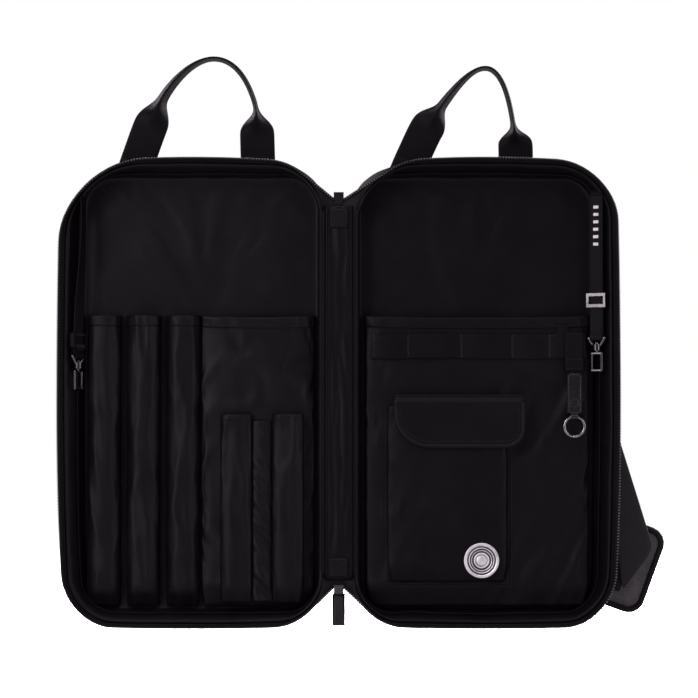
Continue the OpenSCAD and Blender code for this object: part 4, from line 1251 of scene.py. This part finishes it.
# badge: a metal disc, two dark fields, a ring line, and a plain domed boss with one groove, like a cymbal from above
bd_lo, bd_hi = box_mm("badge")
badge_x, badge_z, br = (bd_lo[0] + bd_hi[0]) / 2, (bd_lo[2] + bd_hi[2]) / 2, (bd_hi[0] - bd_lo[0]) / 2
deep = bd_hi[1] - bd_lo[1]
for name, mat, profile in (       # profile rows are (inset from the badge's edge, depth behind its front)
        ("disc", "badge", ((0.3, deep), (0, deep - 0.3), (0, 0.3), (0.5, 0), (2.7, 0), (3.0, 0.35), (br - 0.5, 0.35))),
        ("field", "badge_dark", ((3.2, 0.5), (3.2, 0.22), (7.2, 0.22), (7.2, 0.5))),
        ("inner_field", "badge_dark", ((8.0, 0.5), (8.0, 0.2), (br - 0.4, 0.2))),
        ("ring_line", "badge", ((4.7, 0.4), (4.7, 0.05), (5.7, 0.05), (5.7, 0.4))),
        ("boss", "badge", ((9.6, 0.4), (9.8, 0.05), (11.3, 0), (11.6, 0.2), (12.3, 0.2), (12.6, 0), (br - 1.6, -0.25),
                           (br - 0.4, -0.3)))):
    verts = [p for inset, dy in profile
             for p in at_depth(bd_lo[1] + dy, arc(badge_x, badge_z, br - inset, 0, 360, 64, False))]
    place(merge(add_mesh("badge_" + name, verts, tube_faces(len(profile), 64), M[mat]), 0.001), "right_half",
          "badge_metal", *(("badge",) if name == "disc" else ()))


# ---------------------------------------------------------------- shoulder strap behind the right half
STRAP_W = 37.0
RUN = 337.0                            # from the upper ring's bar to where the strap narrows into its fold
STRAP_LOOP, ANCHOR_LOOP = 2.9, 2.9     # radius of the webbing round the rings
strap_turn = math.radians(-17.2)
down_dir = np.array([-math.sin(strap_turn), 0, -math.cos(strap_turn)])
across_dir = np.array([math.cos(strap_turn), 0, -math.sin(strap_turn)])
ring_lo, ring_hi = box_mm("top_ring")
ring_mid = (ring_lo + ring_hi) / 2     # middle of the ring, halfway down its drop
ROLL_Y = ring_mid[1]
PAD_RUN_Y = ROLL_Y + 3.9
low_bar, up_bar = ring_mid + down_dir * 9.0, ring_mid - down_dir * 9.0

path = [low_bar + down_dir * d + FACING * STRAP_LOOP for d in (34, 26, 18, 9)]
path += [low_bar + FACING * STRAP_LOOP * math.cos(a) - down_dir * STRAP_LOOP * math.sin(a)
         for a in np.linspace(0, math.pi, 10)]
path += [low_bar + down_dir * d + FACING * (STRAP_LOOP * (min(1, d / 30) - 1) + 0.8 * math.sin(d / 55.0))
         for d in np.linspace(6, RUN, 56)]
# the strap narrows to the point of its fold
taper = np.linspace(0, 1, 9)[1:]
widths = [STRAP_W] * len(path) + [STRAP_W * (1 - t) + 1.5 for t in taper]
path += [path[-1] + np.array([-10.5, -0.4, -41.0]) * t for t in taper]
ribbon("shoulder_webbing_long", path, across_dir, STRAP_W, 1.7, M["strap"], "shoulder_strap", "shoulder_strap",
       widths=widths)

# the run along the pad, and the tail down to the lower ring
pad_run = [pad_point(PAD_L / 2 - 28 - 242 * t, 0, PAD_RUN_Y - 0.6 + 0.3 * math.sin(t * 9))
           for t in np.linspace(0, 1, 60)]
ribbon("shoulder_webbing_pad_run", pad_run, pad_v, STRAP_W, 1.6, M["strap"], "shoulder_strap")
br_lo, br_hi = box_mm("bottom_ring")
tail_x = (br_lo[0] + br_hi[0]) / 2
tail = list(np.linspace((tail_x, PAD_RUN_Y + 0.8, pad_run[-1][2] + 12), (tail_x, PAD_RUN_Y + 0.8, br_hi[2] + 1.5), 24))
tail += [(tail_x, ROLL_Y + 3.0 * math.cos(a), br_hi[2] - 2.0 - 3.0 * math.sin(a)) for a in np.linspace(0.2, math.pi, 9)]
tail += [(tail_x, ROLL_Y - 1.6, z) for z in np.linspace(br_hi[2] + 4, br_hi[2] + 30, 6)]
ribbon("shoulder_webbing_tail", tail, (1, 0, 0), STRAP_W - 1, 1.5, M["strap"], "shoulder_strap")

# the pad's edge binding, its stitching and keepers
out = pad_outline(3.4, 13, 5.0)
pts = []
for (a, b), nn in zip(out, ring_normals(out)):
    w = 0.35 * wrinkle((a, 0, b), 16, 3.0) * 0.4
    for c, s in arc(0, 0, 1, 0, 360, 12, False):
        dn = 3.6 * c - 0.2
        pts.append(pad_point(a + nn[0] * dn, b + nn[1] * dn, PAD_MID + 3.4 * s + w))
bind = add_mesh("shoulder_pad_binding", pts, grid_faces(len(out), 12, closed_u=True, closed_v=True), M["binding"])
place(merge(bind, 0.01), "shoulder_pad", "binding_tape", "pad_binding")
stitches("shoulder_pad_stitches", [np.array([pad_point(a, b, y) for a, b in pad_outline(6.2, 11, 4.0)])
                                   for y in (PAD_MID - 3.6, PAD_MID + 3.6)], "shoulder_pad")
half_keeper = [(27, PAD_FRONT - 0.6), (24, PAD_FRONT - 1.6), (20.5, PAD_RUN_Y - 1.9), (12, PAD_RUN_Y - 2.3)]
profile = [(-b, y) for b, y in half_keeper] + [(0, PAD_RUN_Y - 2.4)] + half_keeper[::-1]
for k, (a, nodes) in enumerate(((PAD_L / 2 - 33, ("pad_keepers",)), (PAD_L / 2 - 199, ()))):
    over = resample([pad_point(a, b, y) for b, y in profile], 2.0)
    ribbon("shoulder_pad_keeper_%d" % (k + 1), over, pad_u, 11.0, 1.2, M["binding"], "shoulder_pad", *nodes)

# anchor tabs: webbing rolled round the ring and sewn to the back panel
for end, centre, direction, acr, length in (
        ("top", up_bar, -down_dir, across_dir, 27),
        ("bottom", np.array([tail_x, ROLL_Y, br_lo[2] + 2.0]), np.array([0, 0, -1.0]), np.array([1.0, 0, 0]), 23)):
    pts = [centre + direction * d - FACING * 2.4 for d in np.linspace(length, 3, 6)]
    pts += [centre - FACING * ANCHOR_LOOP * math.cos(a) - direction * ANCHOR_LOOP * math.sin(a)
            for a in np.linspace(0, math.pi, 9)]
    pts += [centre + direction * d + FACING * (ANCHOR_LOOP - 3.6 * float(smooth(0, 14, d)))
            for d in np.linspace(2, length - 2, 8)]
    ribbon(end + "_anchor_webbing", pts, acr, 35.0, 1.4, M["strap"], "right_half", end + "_anchor")
    far = length - 4
    box_line = [centre + direction * d + acr * b + FACING * 0.35
                for d, b in ((far, -15), (far, 15), (10, 15), (10, -15), (far, -15), (10, 15))]
    stitches(end + "_anchor_stitches", [np.array(box_line)], "right_half", length=2.2, pitch=3.0)


# ---------------------------------------------------------------- floor, light, camera
FLOOR_Z = cad_lo.z - 0.004
AMBIENT = 0.08                         # sky strength for everything but the camera's own view


def camera_gain(nt, plain, seen):
    """plain for bounced light, seen for what the camera looks at directly."""
    ray = node(nt, "LightPath").outputs["Is Camera Ray"]
    return calc(nt, "ADD", plain, calc(nt, "MULTIPLY", ray, seen - plain))


def studio_floor(n=24):
    """Pale paper floor, wide enough to meet the white surround at the horizon."""
    verts = [(0.0, 0.0, FLOOR_Z)]
    for radius in (0.6, 1.6, 4.0, 14.0):
        verts += [(x, z, FLOOR_Z) for x, z in arc(0, 0, radius, 0, 360, n, False)]
    faces = [(0, 1 + k, 1 + (k + 1) % n) for k in range(n)] + grid_faces(4, n, closed_v=True, start=1)
    me = bpy.data.meshes.new("studio_floor")
    me.from_pydata(verts, [], faces)
    mat, nt = empty_material("studio_paper")
    paper = ramp(nt, grain(nt, node(nt, "TexCoord").outputs["Object"], 3), 0.3, (0.955,) * 3, 0.7, (0.985,) * 3)
    gain = node(nt, "VectorMath")
    gain.operation = "SCALE"
    put(nt, gain.inputs[0], paper)
    # the camera sees the white of the surround; bounced light keeps the plain tone
    put(nt, gain.inputs["Scale"], camera_gain(nt, 0.8, 1 / AMBIENT))
    node(nt, "OutputMaterial", {"Surface": node(nt, "BsdfDiffuse", {"Color": gain.outputs[0]}).outputs[0]})
    me.materials.append(mat)
    link("studio_floor", me)


def aim(ob, loc, direction):
    ob.location = loc
    ob.rotation_mode = "QUATERNION"
    ob.rotation_quaternion = direction.to_track_quat("-Z", "Y")


LAMPS = (                              # name, place, size in metres, power in watts
    ("key_left", (-1.5, -1.9, 0.9), (0.6, 1.6), 32), ("key_right", (2.0, -1.3, 0.6), (0.6, 1.8), 15),
    ("front_high", (0.2, -1.7, 2.2), (1.8, 0.7), 17), ("top", (0, 0.2, 2.4), (2.2, 1.2), 26),
    ("rear_left", (-1.9, 1.8, 1.1), (0.9, 1.7), 40), ("rear_right", (2.0, 1.7, 0.9), (0.9, 1.7), 40))
studio_floor()
for name, loc, size, power in LAMPS:
    light = bpy.data.lights.new(name, "AREA")
    light.shape = "RECTANGLE"
    light.size, light.size_y = size
    light.energy = power
    light.color = (1.0, 0.9, 1.0)
    aim(link(name, light), loc, -Vector(loc))
world = bpy.data.worlds.new("studio")
world.use_nodes = True
background = world.node_tree.nodes["Background"]
background.inputs[0].default_value = (1, 1, 1, 1)
put(world.node_tree, background.inputs[1], camera_gain(world.node_tree, AMBIENT, 1.0))
bpy.context.scene.world = world
bpy.context.scene.view_settings.view_transform = "Standard"

DIST, VIEW_W, SENSOR = 3.4, 0.696, 36.0          # camera distance, width of the picture there, sensor in mm
ELEVATION = math.radians(-2.0)
cam_data = bpy.data.cameras.new("camera")
cam = link("camera", cam_data)
away = Vector((0, -math.cos(ELEVATION), math.sin(ELEVATION)))
aim(cam, Vector((0.0103, 0.0, 0.0435)) + away * DIST, -away)
cam_data.sensor_width = SENSOR
cam_data.lens = SENSOR * DIST / VIEW_W
cam_data.clip_start, cam_data.clip_end = 0.05, 50
bpy.context.scene.camera = cam
